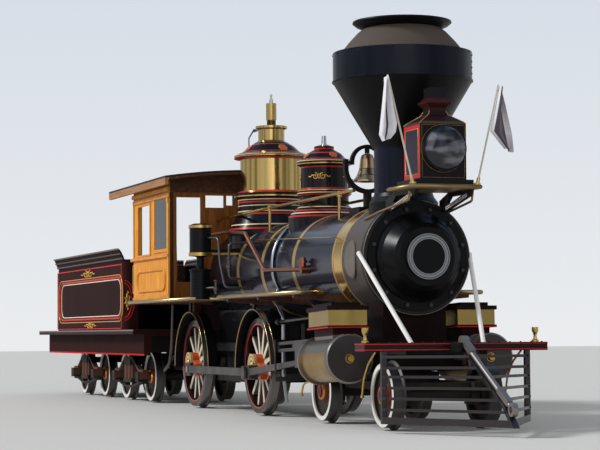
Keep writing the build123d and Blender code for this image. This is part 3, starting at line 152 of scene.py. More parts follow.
world = bpy.data.worlds.new("studio")
bpy.context.scene.world = world
world.use_nodes = True
sky = world.node_tree
sky.nodes.clear()
rays = node(sky, "LightPath", {}).outputs
direction = node(sky, "TexCoord", {}).outputs["Generated"]
sky_height = node(sky, "SeparateXYZ", {"Vector": direction}).outputs["Z"]
plain_sky = colour_ramp(sky, sky_height, (0.0, shade(234, 236, 238)), (0.6, shade(150, 178, 212)))
stretched = node(sky, "Mapping", {"Vector": direction, "Scale": (3.2, 3.2, 0.8)}).outputs["Vector"]
clumps = node(sky, "TexNoise", {"Vector": stretched, "Scale": 1.0, "Detail": 3.0}).outputs["Fac"]
clump_shade = colour_ramp(sky, clumps, (0.40, (0.30, 0.29, 0.27, 1.0)), (0.60, (1.15, 1.15, 1.15, 1.0)))
mirrored_sky = mix_node(sky, "RGBA", rays["Is Glossy Ray"], plain_sky, clump_shade, blend_type="MULTIPLY")
seen = reckon(sky, "MAXIMUM", rays["Is Camera Ray"], rays["Is Glossy Ray"])
seen = reckon(sky, "MAXIMUM", seen, rays["Is Transmission Ray"])
ambient = node(sky, "Background", {"Color": (1.0, 1.0, 1.0, 1.0), "Strength": 0.4})
backdrop = node(sky, "Background", {"Color": mirrored_sky, "Strength": 1.0})
whole_sky = node(sky, "MixShader", {0: seen, 1: ambient.outputs[0], 2: backdrop.outputs[0]})
node(sky, "OutputWorld", {"Surface": whole_sky.outputs[0]})

studio_lamps = (
    # name, direction that it shines, strength, spread in degrees
    ("key_light", (0.32, 0.80, -0.62), 2.3, 14),
    ("front_fill", (-0.9, 0.25, -0.35), 0.4, 40),
)
for lamp_name, shines, strength, spread in studio_lamps:
    sun = bpy.data.lights.new(lamp_name, "SUN")
    sun.energy = strength
    sun.angle = math.radians(spread)
    placed(lamp_name, sun).rotation_euler = Vector(shines).to_track_quat("-Z", "Y").to_euler()


# Main frame
# Forged iron bars with pedestals for the axle boxes, painted black and dull
# with road dust below. It carries everything else.
front_axle_x = 2.217
rail_top_z = 0.026


def at(x, y, z):
    """A place measured from the front driving axle and the rail top, as engines are drawn."""
    return Vector((x + front_axle_x, y, z + rail_top_z))


def group_of(name, takes, gives):
    """A shader node group, what comes into it and what goes out.

    A socket with four numbers is a colour, one with three is a vector, and one with one is a number.
    """
    tree = bpy.data.node_groups.new(name, "ShaderNodeTree")
    kinds = {3: "NodeSocketVector", 4: "NodeSocketColor"}
    for way, sockets in (("INPUT", takes), ("OUTPUT", gives)):
        for label, value in sockets.items():
            kind = kinds[len(value)] if isinstance(value, tuple) else "NodeSocketFloat"
            socket = tree.interface.new_socket(label, in_out=way, socket_type=kind)
            socket.default_value = value
    return tree, tree.nodes.new("NodeGroupInput").outputs, tree.nodes.new("NodeGroupOutput").inputs


# Road dust and soot that lie on every painted or bare surface, more of it low down
dust_tree, dust_in, dust_out = group_of(
    "road_dust",
    {"Color": (0.5, 0.5, 0.5, 1.0), "Roughness": 0.4, "Dust Color": (0.2, 0.16, 0.12, 1.0), "Amount": 0.3,
     "Scale": 3.0},
    {"Color": (0.0, 0.0, 0.0, 1.0), "Roughness": 0.0, "Height": 0.0},
)
dust_place = node(dust_tree, "TexCoord", {}).outputs["Object"]
dust_height = node(dust_tree, "SeparateXYZ", {"Vector": dust_place}).outputs["Z"]
dust_noise = {"Vector": dust_place, "Scale": dust_in["Scale"], "Detail": 6.0}
dust_patches = node(dust_tree, "TexNoise", dust_noise).outputs["Fac"]
grain_noise = {"Vector": dust_place, "Scale": 90.0, "Detail": 3.0}
dust_grain = node(dust_tree, "TexNoise", grain_noise).outputs["Fac"]
dust_low = reckon(dust_tree, "SUBTRACT", 1.15, dust_height)
dust_low = reckon(dust_tree, "MULTIPLY", dust_low, 0.55)
dust_low = reckon(dust_tree, "MAXIMUM", dust_low, 0.12)
dust_mask = reckon(dust_tree, "SUBTRACT", dust_patches, 0.36)
for operation, amount in (("MULTIPLY", 4.0), ("MAXIMUM", 0.0), ("MULTIPLY", dust_low),
                          ("MULTIPLY", dust_in["Amount"]), ("MINIMUM", 0.9)):
    dust_mask = reckon(dust_tree, operation, dust_mask, amount)
rough_patch = reckon(dust_tree, "MULTIPLY_ADD", dust_patches, 0.16, -0.08)
rough_plain = reckon(dust_tree, "ADD", dust_in["Roughness"], rough_patch)
dusty_colour = mix_node(dust_tree, "RGBA", dust_mask, dust_in["Color"], dust_in["Dust Color"])
dusty_rough = mix_node(dust_tree, "FLOAT", dust_mask, rough_plain, 0.85)
feed(dust_tree, dusty_colour, dust_out["Color"])
feed(dust_tree, dusty_rough, dust_out["Roughness"])
feed(dust_tree, dust_grain, dust_out["Height"])

# Tells where a value lies between two limits, to paint one form in several colours
zone_tree, zone_in, zone_out = group_of(
    "paint_line", {"Value": 0.0, "From": 0.0, "To": 1.0}, {"Inside": 0.0},
)
above = reckon(zone_tree, "GREATER_THAN", zone_in["Value"], zone_in["From"])
below = reckon(zone_tree, "LESS_THAN", zone_in["Value"], zone_in["To"])
feed(zone_tree, reckon(zone_tree, "MULTIPLY", above, below), zone_out["Inside"])


def measures(tree, line, tilt=0.0):
    """Sockets for a point's x, y, z, distance out (side), and distance from a line (round).

    line is None or (axis, first, second): the axis that it runs along and its place in the other two.
    """
    place = node(tree, "TexCoord", {}).outputs["Object"]
    if tilt:
        place = node(tree, "Mapping", {"Vector": place, "Rotation": (0, tilt, 0)}).outputs["Vector"]
    split = node(tree, "SeparateXYZ", {"Vector": place}).outputs
    found = {"x": split["X"], "y": split["Y"], "z": split["Z"]}
    found["side"] = reckon(tree, "ABSOLUTE", split["Y"])
    if line:
        axis, first, second = line
        others = {"x": ("side", "z"), "y": ("x", "z"), "z": ("x", "side")}[axis]
        across = reckon(tree, "SUBTRACT", found[others[0]], first)
        up = reckon(tree, "SUBTRACT", found[others[1]], second)
        square = reckon(tree, "MULTIPLY_ADD", up, up, reckon(tree, "MULTIPLY", across, across))
        found["round"] = reckon(tree, "SQRT", square)
    return found


def zone_mask(tree, found, limits):
    """One where every measure lies between its limits, and nought elsewhere."""
    mask = None
    for measure, low, high in limits:
        feeds = {"Value": found[measure], "From": low, "To": high}
        inside = node(tree, "Group", feeds, node_tree=zone_tree).outputs["Inside"]
        mask = inside if mask is None else reckon(tree, "MULTIPLY", mask, inside)
    return mask


def weather(tree, shader, colour, roughness, dust, dust_colour, dust_scale, bump, height=None):
    """Lays dust over a colour and feeds the shader; the bump takes a given height or the dust's own."""
    feeds = {"Color": colour, "Roughness": roughness, "Dust Color": shade(*dust_colour), "Amount": dust,
             "Scale": dust_scale}
    dirt = node(tree, "Group", feeds, node_tree=dust_tree).outputs
    if height is None:
        height = dirt["Height"]
    relief = node(tree, "Bump", {"Strength": bump, "Distance": 0.002, "Height": height})
    feed(tree, dirt["Color"], shader.inputs["Base Color"])
    feed(tree, dirt["Roughness"], shader.inputs["Roughness"])
    feed(tree, relief.outputs["Normal"], shader.inputs["Normal"])


def finish(name, colour, roughness, metal=0.0, coat=0.0, dust=0.5, dust_colour=(70, 62, 54),
           dust_scale=3.0, bump=0.12, zones=(), line=None, tilt=0.0, gloss=0.14):
    """A painted, plated or bare finish with dust, and zones of other colours on the same piece.

    Each zone is (limits, colour, metal, roughness); limits is a list of (measure, low, high).
    """
    material, tree, shader = blank_material(
        name, Coat_Weight=coat, Coat_Roughness=0.08, Specular_IOR_Level=gloss,
    )
    base = shade(*colour)
    if zones:
        found = measures(tree, line, tilt)
    for limits, zone_colour, zone_metal, zone_rough in zones:
        mask = zone_mask(tree, found, limits)
        base = mix_node(tree, "RGBA", mask, base, shade(*zone_colour))
        if metal != zone_metal:
            metal = mix_node(tree, "FLOAT", mask, metal, zone_metal)
        roughness = mix_node(tree, "FLOAT", mask, roughness, zone_rough)
    feed(tree, metal, shader.inputs["Metallic"])
    weather(tree, shader, base, roughness, dust, dust_colour, dust_scale, bump)
    return material


def coat_with(material, *node_names):
    """Gives CAD pieces this finish."""
    for node_name in node_names:
        nodes[node_name].data.materials.clear()
        nodes[node_name].data.materials.append(material)


black_iron = finish("black_iron", (24, 23, 25), 0.5, dust=0.9, dust_scale=2.2, bump=0.25)
coat_with(black_iron, "engine_frame", "bell_stand")


# Driving wheels
# Cast spoked centres, painted ivory with a red inner rim, in dark steel tyres.
# The hub bosses are cream with rings and the crank webs orange red.
axle_height = 0.5334
wheelbase = 2.62
driver_axles = (("main_driver_wheels", front_axle_x), ("rear_driver_wheels", front_axle_x - wheelbase))
for wheel_node, axle_x in driver_axles:
    wheel_paint = finish(
        wheel_node + "_paint", (226, 218, 200), 0.35, coat=0.4, dust=0.35,
        line=("y", axle_x, axle_height + rail_top_z),
        zones=(
            ([("round", 0.0, 0.135)], (205, 178, 120), 0.0, 0.35),
            ([("round", 0.098, 0.112)], (120, 30, 24), 0.0, 0.35),
            ([("round", 0.050, 0.066)], (40, 30, 28), 0.0, 0.4),
            ([("side", 0.525, 0.607), ("round", 0.134, 0.33)], (214, 84, 38), 0.0, 0.4),
            ([("side", 0.600, 0.607), ("round", 0.134, 0.33)], (228, 120, 60), 0.0, 0.4),
            ([("side", 0.6075, 0.8), ("round", 0.15, 0.33)], (150, 148, 144), 1.0, 0.3),
            # Painted shade: a darker brown on the spokes' sides, back from their front faces
            ([("side", 0.430, 0.513), ("round", 0.150, 0.460)], (104, 92, 80), 0.0, 0.5),
            ([("round", 0.452, 0.500)], (40, 18, 18), 0.0, 0.4),
            ([("round", 0.464, 0.477), ("side", 0.550, 0.60)], (178, 44, 44), 0.0, 0.35),
            ([("round", 0.500, 0.60)], (54, 44, 42), 0.4, 0.45),
            ([("round", 0.530, 0.5336)], (120, 116, 112), 1.0, 0.25),
            ([("side", 0.0, 0.430)], (38, 36, 36), 0.0, 0.6),
        ),
    )
    coat_with(wheel_paint, wheel_node)


# Rods and crossheads
# Forged steel, ground bright and wiped with oil, with brass oil cups on the
# rod ends and keys and bolts through the straps.
crank_length = 0.203
engine_tilt = math.radians(1.94)
rod_face_y = 0.6985
rod_middle_y = 0.677
rod_hands = (
    # hand, side, crank angle in degrees
    ("right", -1, -22.0),
    ("left", 1, -112.0),
)


def keep(piece, material, body="engine"):
    """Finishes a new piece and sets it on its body."""
    piece.data.materials.append(material)
    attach(piece, body)


def mesh_piece(name, points, faces, smooth_below):
    """A mesh object from points and faces, smooth where its faces meet at small angles."""
    mesh = bpy.data.meshes.new(name)
    mesh.from_pydata([tuple(p) for p in points], [], faces)
    builder = bmesh.new()
    builder.from_mesh(mesh)
    bmesh.ops.recalc_face_normals(builder, faces=builder.faces)
    builder.to_mesh(mesh)
    builder.free()
    mesh.shade_smooth()
    mesh.set_sharp_from_angle(angle=math.radians(smooth_below))
    return placed(name, mesh)


def arc(middle, across, up, start, sweep, steps):
    """Points on an arc from a start angle through a sweep, both in degrees.

    across and up are its radii as vectors: the first lies at 0 degrees, the second at 90.
    """
    points = []
    for step in range(steps + 1):
        angle = math.radians(start + sweep * step / steps)
        points.append(Vector(middle) + Vector(across) * math.cos(angle) + Vector(up) * math.sin(angle))
    return points


def ring(middle, across, up, count, shift=0.0):
    """Evenly spaced points on a full circle, turned on by a share of their spacing."""
    return arc(middle, across, up, 360 * shift / count, 360 * (count - 1) / count, count - 1)


def skin(start, rows, around, closed=False):
    """Faces between rings of points that follow each other in a list."""
    faces = []
    for row in range(rows if closed else rows - 1):
        low = start + row * around
        high = start + (row + 1) % rows * around
        for step in range(around):
            after = (step + 1) % around
            faces.append((low + step, low + after, high + after, high + step))
    return faces


def studs(name, places, out, radius, height, sides=8, rings=2):
    """Small domed or six sided heads in one mesh, each standing on a face along its own direction."""
    points, faces = [], []
    for index, place in enumerate(places):
        facing = Vector(out[index] if isinstance(out, list) else out).normalized()
        first = facing.orthogonal().normalized()
        second = facing.cross(first)
        start = len(points)
        for number in range(rings + 1):
            share = number / rings
            lift = height * math.sin(share * math.pi / 2) if rings > 1 else height * share
            reach = radius * math.cos(share * math.pi / 2) if rings > 1 else radius
            if number == rings and rings > 1:
                reach = radius * 0.25
            points += ring(Vector(place) + facing * lift, first * reach, second * reach, sides)
        faces += skin(start, rings + 1, sides)
        faces.append(tuple(range(start + rings * sides, start + (rings + 1) * sides)))
        faces.append(tuple(reversed(range(start, start + sides))))
    return mesh_piece(name, points, faces, 50)


def bolts(name, places, out, radius, height):
    """Six sided heads."""
    return studs(name, places, out, radius, height, sides=6, rings=1)


oil_cup_brass = finish("oil_cup_brass", (206, 164, 88), 0.28, metal=1.0, dust=0.3, bump=0.03)
rod_steel = finish("rod_steel", (96, 90, 90), 0.38, metal=0.85, dust=0.7, dust_colour=(46, 40, 36),
                   bump=0.15)
coat_with(rod_steel, "side_rod_right", "side_rod_left", "main_rod_right", "main_rod_left",
          "crosshead_right", "crosshead_left")
guide_steel = finish(
    "guide_steel", (88, 85, 86), 0.36, metal=0.85, dust=0.4, bump=0.15,
    zones=(([("x", 3.0, 3.60)], (26, 25, 27), 0.0, 0.5),),
)
coat_with(guide_steel, "crosshead_guides", "valve_rods")
for hand, side, crank_angle in rod_hands:
    crank_turn = math.radians(crank_angle) + engine_tilt
    pin_z = axle_height + crank_length * math.sin(crank_turn)
    heads, cups = [], []
    for axle_x in (0.0, -wheelbase):
        pin_x = axle_x + crank_length * math.cos(crank_turn)
        for key_x in (-0.06, 0.075):
            for key_z in (-0.058, 0.058):
                heads.append(at(pin_x + key_x, side * rod_face_y, pin_z + key_z))
        cups.append(at(pin_x, side * rod_middle_y, pin_z + 0.079))
    keep(bolts(f"side_rod_bolts_{hand}", heads, (0, side, 0), 0.013, 0.008), rod_steel,
         f"side_rod_{hand}")
    keep(studs(f"oil_cups_{hand}", cups, (0, 0, 1), 0.022, 0.04, sides=16, rings=3), oil_cup_brass,
         f"side_rod_{hand}")


# Truck wheels
# Plate wheels of the leading truck and the tender: white edge on the tyre, dark
# plate, red hub with a brass ring.
plate_face = ("side", 0.50, 0.60)
truck_axles = (
    # node, axle x, radius of the tread
    ("lead_wheels_front", 6.070, 0.305),
    ("lead_wheels_rear", 4.350, 0.305),
    ("tender_wheels_1_front", -2.580, 0.330),
    ("tender_wheels_1_rear", -3.930, 0.330),
    ("tender_wheels_2_front", -5.246, 0.330),
    ("tender_wheels_2_rear", -6.596, 0.330),
)
for wheel_node, axle_x, tread in truck_axles:
    plate_paint = finish(
        wheel_node + "_paint", (44, 38, 37), 0.5, dust=0.6, line=("y", axle_x, tread + rail_top_z),
        zones=(
            ([("round", tread - 0.050, tread - 0.004), ("side", 0.54, 0.60)], (236, 234, 228), 0.0, 0.4),
            ([("round", tread - 0.004, tread + 0.03)], (92, 90, 88), 1.0, 0.4),
            ([("round", 0.0, 0.112), plate_face], (150, 46, 30), 0.0, 0.4),
            ([("round", 0.074, 0.092), plate_face], (220, 180, 90), 1.0, 0.25),
            ([("round", 0.0, 0.040), plate_face], (60, 52, 46), 0.3, 0.4),
            ([("side", 0.0, 0.430)], (38, 36, 36), 0.0, 0.6),
        ),
    )
    coat_with(plate_paint, wheel_node)


# Truck frames and brake gear
# Black forged bars bolted together; the tender's are arch bars that rest on
# coil springs, and dust from the road lies on all of them.
truck_black = finish(
    "truck_black", (28, 26, 26), 0.55, dust=0.9, dust_colour=(84, 70, 58), bump=0.3,
    zones=(([("z", 0.320, 0.504), ("side", 0.59, 0.73)], (98, 62, 52), 0.0, 0.5),),
)
coat_with(truck_black, "tender_truck_frame_1", "tender_truck_frame_2")
lead_black = finish("lead_truck_black", (26, 25, 26), 0.55, dust=0.9, dust_colour=(84, 70, 58), bump=0.3)
coat_with(lead_black, "lead_truck_frame")


# Cylinders and steam chests
# Cast iron, lagged and cased: bright lower casings, polished rings and covers,
# brass sides on the steam chests and a maroon casing between.


def wire(name, runs, radius, closed=False, sides=2):
    """Round lines of paint, wire or pipe: each run is a list of points."""
    curve = bpy.data.curves.new(name, "CURVE")
    curve.dimensions = "3D"
    curve.bevel_depth = radius
    curve.bevel_resolution = sides
    curve.use_fill_caps = True
    for run in runs:
        spline = curve.splines.new("POLY")
        spline.points.add(len(run) - 1)
        for point, place in zip(spline.points, run):
            point.co = (*place, 1)
        spline.use_cyclic_u = closed
    return placed(name, curve)


def bent(points, radius, steps=5):
    """A run of points with its corners rounded, for pipes bent to a radius."""
    run = [Vector(points[0])]
    for before, corner, after in zip(points[:-2], points[1:-1], points[2:]):
        back = (Vector(before) - Vector(corner)).normalized() * radius
        ahead = (Vector(after) - Vector(corner)).normalized() * radius
        for step in range(steps + 1):
            share = step / steps
            run.append(Vector(corner) + back * (1 - share) ** 2 + ahead * share ** 2)
    run.append(Vector(points[-1]))
    return run


def run_of(side, *places):
    """A run of places on one side, each with its y as the distance out."""
    return [at(x, side * y, z) for x, y, z in places]


# The coordinates are turned, so that the cylinder's line lies level at this place
axle_z = axle_height + rail_top_z
level_z = math.cos(engine_tilt) * axle_z - math.sin(engine_tilt) * front_axle_x
level_x = math.cos(engine_tilt) * front_axle_x + math.sin(engine_tilt) * axle_z
chest = ("side", 0.44, 1.0)
cover = ("x", level_x + 3.466, level_x + 3.6)
casing_paint = finish(
    "cylinder_casing", (28, 15, 18), 0.4, dust=0.5, tilt=engine_tilt, gloss=0.03,
    line=("x", 0.740, level_z),
    zones=(
        ([("round", 0.0, 0.247), ("x", level_x + 2.5, level_x + 3.6)], (128, 122, 116), 0.9, 0.3),
        ([("round", 0.0, 0.222), ("x", level_x + 2.663, level_x + 3.423), ("z", -1.0, level_z + 0.07)],
         (170, 138, 84), 1.0, 0.3),
        ([("round", 0.0, 0.247), cover], (74, 69, 68), 0.85, 0.32),
        ([("round", 0.226, 0.247), cover], (150, 144, 138), 0.85, 0.28),
        ([("round", 0.0, 0.045), ("x", level_x + 3.48, level_x + 3.6)], (214, 172, 92), 1.0, 0.2),
        ([chest, ("z", level_z + 0.235, level_z + 0.302)], (44, 14, 18), 0.0, 0.35),
        ([chest, ("z", level_z + 0.302, level_z + 0.314)], (190, 46, 44), 0.0, 0.35),
        ([chest, ("z", level_z + 0.327, level_z + 0.477)], (172, 146, 84), 1.0, 0.2),
        ([chest, ("z", level_z + 0.477, level_z + 0.60)], (34, 21, 24), 0.0, 0.35),
    ),
)
coat_with(casing_paint, "cylinders")
brass = finish("polished_brass", (204, 170, 100), 0.22, metal=1.0, dust=0.25, dust_colour=(90, 70, 40),
               bump=0.03)
hands = (("right", -1), ("left", 1))
for hand, side in hands:
    drains = [
        run_of(side, (2.66, 0.80, 0.44), (2.46, 0.86, 0.39), (2.40, 0.86, 0.29)),
        run_of(side, (4.17, 0.74, 0.72), (3.98, 0.74, 0.61), (3.86, 0.74, 0.47), (3.81, 0.74, 0.31)),
    ]
    keep(wire(f"drain_pipes_{hand}", [bent(run, 0.04) for run in drains], 0.010, sides=3), brass)
    keep(bolts(f"drain_nuts_{hand}", [run[-1] for run in drains], (0, 0, -1), 0.019, 0.026), brass)


# Pilot and its coupling bar
# Bars of oiled iron between two posts and a raked nose, bolted through at the
# posts, with a bright loose bar that hooks to whatever is pushed.
pilot_back_x = 4.35
pilot_half = 0.75
pilot_iron = finish("pilot_iron", (68, 64, 67), 0.28, metal=0.8, dust=0.3, bump=0.12, gloss=0.4)
coat_with(pilot_iron, "pilot")
coat_with(finish("bar_steel", (152, 144, 140), 0.4, metal=0.9, dust=0.3, bump=0.15), "draw_bar")
slat_rows = (
    # height, x of the nose
    (0.674, 4.703),
    (0.573, 4.883),
    (0.491, 5.030),
    (0.390, 5.211),
    (0.293, 5.384),
    (0.192, 5.511),
)
sides = (-1, 1)
heads, ways = [], []
for side in sides:
    for slat_z, nose in slat_rows:
        reach = nose - pilot_back_x
        for share in (0.035, 0.955):
            heads.append(at(pilot_back_x + reach * share, side * pilot_half * (1 - share), slat_z))
            ways.append((pilot_half, side * reach, 0))
keep(bolts("pilot_bolts", heads, ways, 0.011, 0.010), pilot_iron)


# Front beam
# Dark maroon oak edged with fine red lines, with bolt heads along its top and
# two turned brass cups for markers at its ends.
beam_face_x = 4.3675
beam_half = 0.9245
beam_top_z = 0.803


def turned(name, outline, middle, axis=(0, 0, 1), steps=64, closed=True):
    """A turned piece: outline is a list of (radius, distance along the axis) from middle."""
    along = Vector(axis).normalized()
    first = along.orthogonal().normalized()
    second = along.cross(first)
    points = []
    for radius, distance in outline:
        points += ring(Vector(middle) + along * distance, first * radius, second * radius, steps)
    faces = skin(0, len(outline), steps, closed)
    if not closed:
        faces.append(tuple(range(steps)))
        faces.append(tuple(reversed(range(len(points) - steps, len(points)))))
    return mesh_piece(name, points, faces, 35)


beam_paint = finish("beam_paint", (38, 14, 18), 0.3, coat=0.05, dust=0.3,
                    zones=(([("x", 6.589, 6.9)], (30, 29, 31), 0.4, 0.4),))
coat_with(beam_paint, "pilot_beam")
line_red = finish("line_red", (196, 44, 46), 0.4, dust=0.15, bump=0.0)
beam_lines = []
for line_z in (0.738, 0.791):
    corners = ((4.12, -beam_half), (beam_face_x, -beam_half), (beam_face_x, beam_half), (4.12, beam_half))
    beam_lines.append([at(x, y, line_z) for x, y in corners])
keep(wire("beam_lines", beam_lines, 0.0045), line_red)
heads = [at(4.335, -0.88 + 0.11 * number, beam_top_z) for number in range(17)]
keep(studs("beam_bolts", heads, (0, 0, 1), 0.011, 0.009), black_iron)
cup_outline = [(0.001, 0), (0.034, 0), (0.034, 0.018), (0.019, 0.026), (0.014, 0.060), (0.022, 0.082),
               (0.031, 0.104), (0.031, 0.140), (0.024, 0.140), (0.024, 0.105), (0.001, 0.098)]
for hand, side in hands:
    cup = turned(f"beam_cup_{hand}", cup_outline, at(4.226, side * 0.864, beam_top_z), steps=32)
    keep(cup, brass)


# Boiler
# The barrel is lagged and cased in planished iron of a deep blue grey under
# brass bands, with a broad brass ring before the smokebox. Sand pipes run down
# its sides from the front dome to the rails.
boiler_line = 1.63
boiler_paint = finish(
    "planished_iron", (38, 44, 62), 0.2, metal=0.6, coat=0.15, dust=0.12, dust_scale=1.2, bump=0.02,
    line=("x", 0.0, boiler_line + rail_top_z),
    zones=(
        ([("x", -0.2, 1.10)], (30, 31, 38), 0.45, 0.28),
        ([("x", 4.687, 4.98)], (226, 184, 96), 1.0, 0.2),
        ([("x", -0.2, -0.12), ("round", 0.0, 0.505)], (26, 25, 27), 0.0, 0.5),
        ([("z", 0.0, 1.30), ("side", 0.0, 0.31)], (22, 21, 22), 0.0, 0.8),
    ),
)
coat_with(boiler_paint, "boiler")
band_brass = finish("band_brass", (194, 166, 112), 0.32, metal=0.6, dust=0.3, dust_colour=(96, 70, 46),
                    bump=0.03)
boiler_bands = (
    # x, half width, outer radius
    (-0.80, 0.046, 0.543),
    (0.12, 0.046, 0.543),
    (1.22, 0.046, 0.543),
    (2.48, 0.018, 0.551),
    (2.745, 0.014, 0.551),
)
for number, (band_x, half, rise) in enumerate(boiler_bands, start=1):
    outline = [(0.538, -half), (rise, -half), (rise + 0.003, 0.0), (rise, half), (0.538, half)]
    band = turned(f"boiler_band_{number}", outline, at(band_x, 0, boiler_line), (1, 0, 0), 128)
    keep(band, band_brass)
pipe_steel = finish("pipe_steel", (168, 170, 174), 0.24, metal=1.0, dust=0.25, bump=0.03)
pipe_reach = 0.562
rod_slope = 0.0347
for hand, side in hands:
    down = arc(at(0.50, 0, boiler_line), (0, side * pipe_reach, 0), (0, 0, pipe_reach), 52, -80, 12)
    route = [place + Vector((0.08 * number / 12, 0, 0)) for number, place in enumerate(down)]
    route += run_of(side, (0.62, 0.60, 1.30), (0.92, 0.62, 1.20), (1.10, 0.62, 1.08), (1.10, 0.62, 0.46),
                    (0.97, 0.54, 0.16))
    keep(wire(f"sand_pipe_{hand}", [bent(route, 0.03, 3)], 0.019, sides=4), pipe_steel)
    rods = [run_of(side, (0.05, 0.60, 1.95), (2.64, 0.60, 1.86))]
    for post_x in (0.30, 1.45, 2.55):
        post_z = 1.95 - (post_x - 0.05) * rod_slope
        rods.append(run_of(side, (post_x, 0.60, post_z), (post_x, 0.44, post_z - 0.02)))
    keep(wire(f"damper_rod_{hand}", rods, 0.006), brass)


# Smokebox and door
# Plain iron gone grey brown with heat, with a blank oval plate on each side, a
# black cast front held by dogs, and a dished door with a silver ringed plate.
smokebox_x = 3.394
smokebox_paint = finish("heated_iron", (92, 84, 80), 0.42, metal=0.5, dust=0.9, dust_colour=(118, 104, 92),
                        dust_scale=2.0, bump=0.2, zones=(([("x", 5.538, 5.62)], (30, 30, 33), 0.0, 0.4),))
coat_with(smokebox_paint, "smokebox")
plate = ("x", 5.90, 6.0)
door_paint = finish(
    "door_black", (10, 10, 12), 0.3, dust=0.3, dust_colour=(50, 48, 48),
    line=("x", 0.0, boiler_line + rail_top_z),
    zones=(
        ([plate, ("round", 0.168, 0.222)], (150, 150, 152), 0.9, 0.35),
        ([plate, ("round", 0.205, 0.212)], (40, 40, 44), 0.5, 0.35),
        ([plate, ("round", 0.178, 0.183)], (40, 40, 44), 0.5, 0.35),
    ),
)
coat_with(door_paint, "smokebox_door")
door_iron = finish("door_iron", (66, 64, 66), 0.35, metal=0.6, dust=0.3, bump=0.1)
plate_iron = finish("plate_iron", (128, 120, 112), 0.35, metal=0.7, dust=0.5, bump=0.1)


def boiler_ring(x, radius, count, shift=0.0):
    """Places round the boiler's line."""
    return ring(at(x, 0, boiler_line), (0, radius, 0), (0, 0, radius), count, shift)


dogs = boiler_ring(smokebox_x + 0.030, 0.482, 12, 0.5)
keep(bolts("door_dogs", dogs, (1, 0, 0), 0.020, 0.026), door_iron)
keep(studs("front_ring_studs", boiler_ring(smokebox_x, 0.541, 36), (1, 0, 0), 0.010, 0.008), door_iron)
seam_radius, seam_count = 0.5475, 40
seam_rivets = boiler_ring(2.80, seam_radius, seam_count) + boiler_ring(3.29, seam_radius, seam_count)
seam_ways = ring((0, 0, 0), (0, 1, 0), (0, 0, 1), seam_count) * 2
keep(studs("smokebox_rivets", seam_rivets, seam_ways, 0.009, 0.006), smokebox_paint)
front_edge = boiler_ring(smokebox_x - 0.002, 0.5605, 96)
keep(wire("front_ring_edge", [front_edge], 0.0045, closed=True), plate_iron)
oval_around = 40
oval_rows = (
    # share of the plate's size, distance from the boiler's line
    (1.0, 0.545),
    (1.0, 0.560),
    (0.90, 0.563),
    (0.84, 0.559),
    (0.78, 0.557),
    (0.02, 0.557),
)
for hand, side in hands:
    points = []
    for share, lift in oval_rows:
        for step in range(oval_around):
            angle = 2 * math.pi * step / oval_around
            swing = 0.19 * share * math.sin(angle) / 0.548
            points.append(at(3.0 + 0.155 * share * math.cos(angle), side * lift * math.cos(swing),
                             1.62 + lift * math.sin(swing)))
    plate_faces = skin(0, len(oval_rows), oval_around)
    keep(mesh_piece(f"oval_plate_{hand}", points, plate_faces, 30), plate_iron)


# Stack
# Riveted sheet: a black band round the widest part, sooty cones above and
# below, a saucer lip and a bolted base.
stack_x = 3.059
stack_widest = 0.6955
stack_paint = finish(
    "stack_sheet", (9, 9, 11), 0.36, dust=0.35, dust_colour=(40, 37, 36), dust_scale=1.6, bump=0.12,
    zones=(
        ([("z", 3.414, 3.708)], (15, 18, 31), 0.0, 0.26),
        ([("z", 3.712, 3.95)], (88, 79, 72), 0.0, 0.75),
        ([("z", 3.953, 4.1)], (14, 14, 17), 0.0, 0.4),
        ([("z", 2.30, 2.76)], (17, 22, 38), 0.0, 0.24),
    ),
)
coat_with(stack_paint, "stack")
rivet_rows = (
    # height, radius, count
    (3.664, stack_widest, 18),
    (3.399, stack_widest, 64),
    (2.719, 0.2925, 16),
    (2.304, 0.2925, 16),
)
rivets, ways = [], []
for rivet_z, rivet_radius, count in rivet_rows:
    for way in ring((0, 0, 0), (1, 0, 0), (0, 1, 0), count, 0.5):
        rivets.append(at(stack_x, 0, rivet_z) + way * rivet_radius)
        ways.append(way)
for seam_turn in (-1.05, 1.05, 2.6):
    way = Vector((math.cos(seam_turn), math.sin(seam_turn), 0))
    for number in range(4):
        rivets.append(at(stack_x, 0, 3.46 + 0.06 * number) + way * stack_widest)
        ways.append(way)
keep(studs("stack_rivets", rivets, ways, 0.010, 0.007), stack_paint)
ridge_outline = [(0.69, 0), (0.705, 0.004), (0.705, 0.016), (0.69, 0.020)]
keep(turned("stack_ridge", ridge_outline, at(stack_x, 0, 3.385), steps=96), stack_paint)


# Sand dome
# A turned casing on a flared base, black between cream, gold and red lines,
# with gilt scrolls on its body, painted bosses on its shoulder, and a silver
# finial.
sand_dome_x = 0.71
boss_turn = 8
dome_red = ((196, 44, 42), 0.0, 0.35)
dome_cream = ((224, 204, 160), 0.1, 0.35)
dome_gold = ((206, 168, 96), 0.8, 0.25)
line_gold = finish("line_gold", (214, 168, 84), 0.35, metal=0.4, dust=0.1, bump=0.0)
boss_orange = finish("boss_orange", (206, 84, 46), 0.35, coat=0.3, dust=0.1, bump=0.02)


def stripes(paint, *heights):
    """Zones of one paint, each between two heights."""
    return [([("z", low, high)], *paint) for low, high in heights]


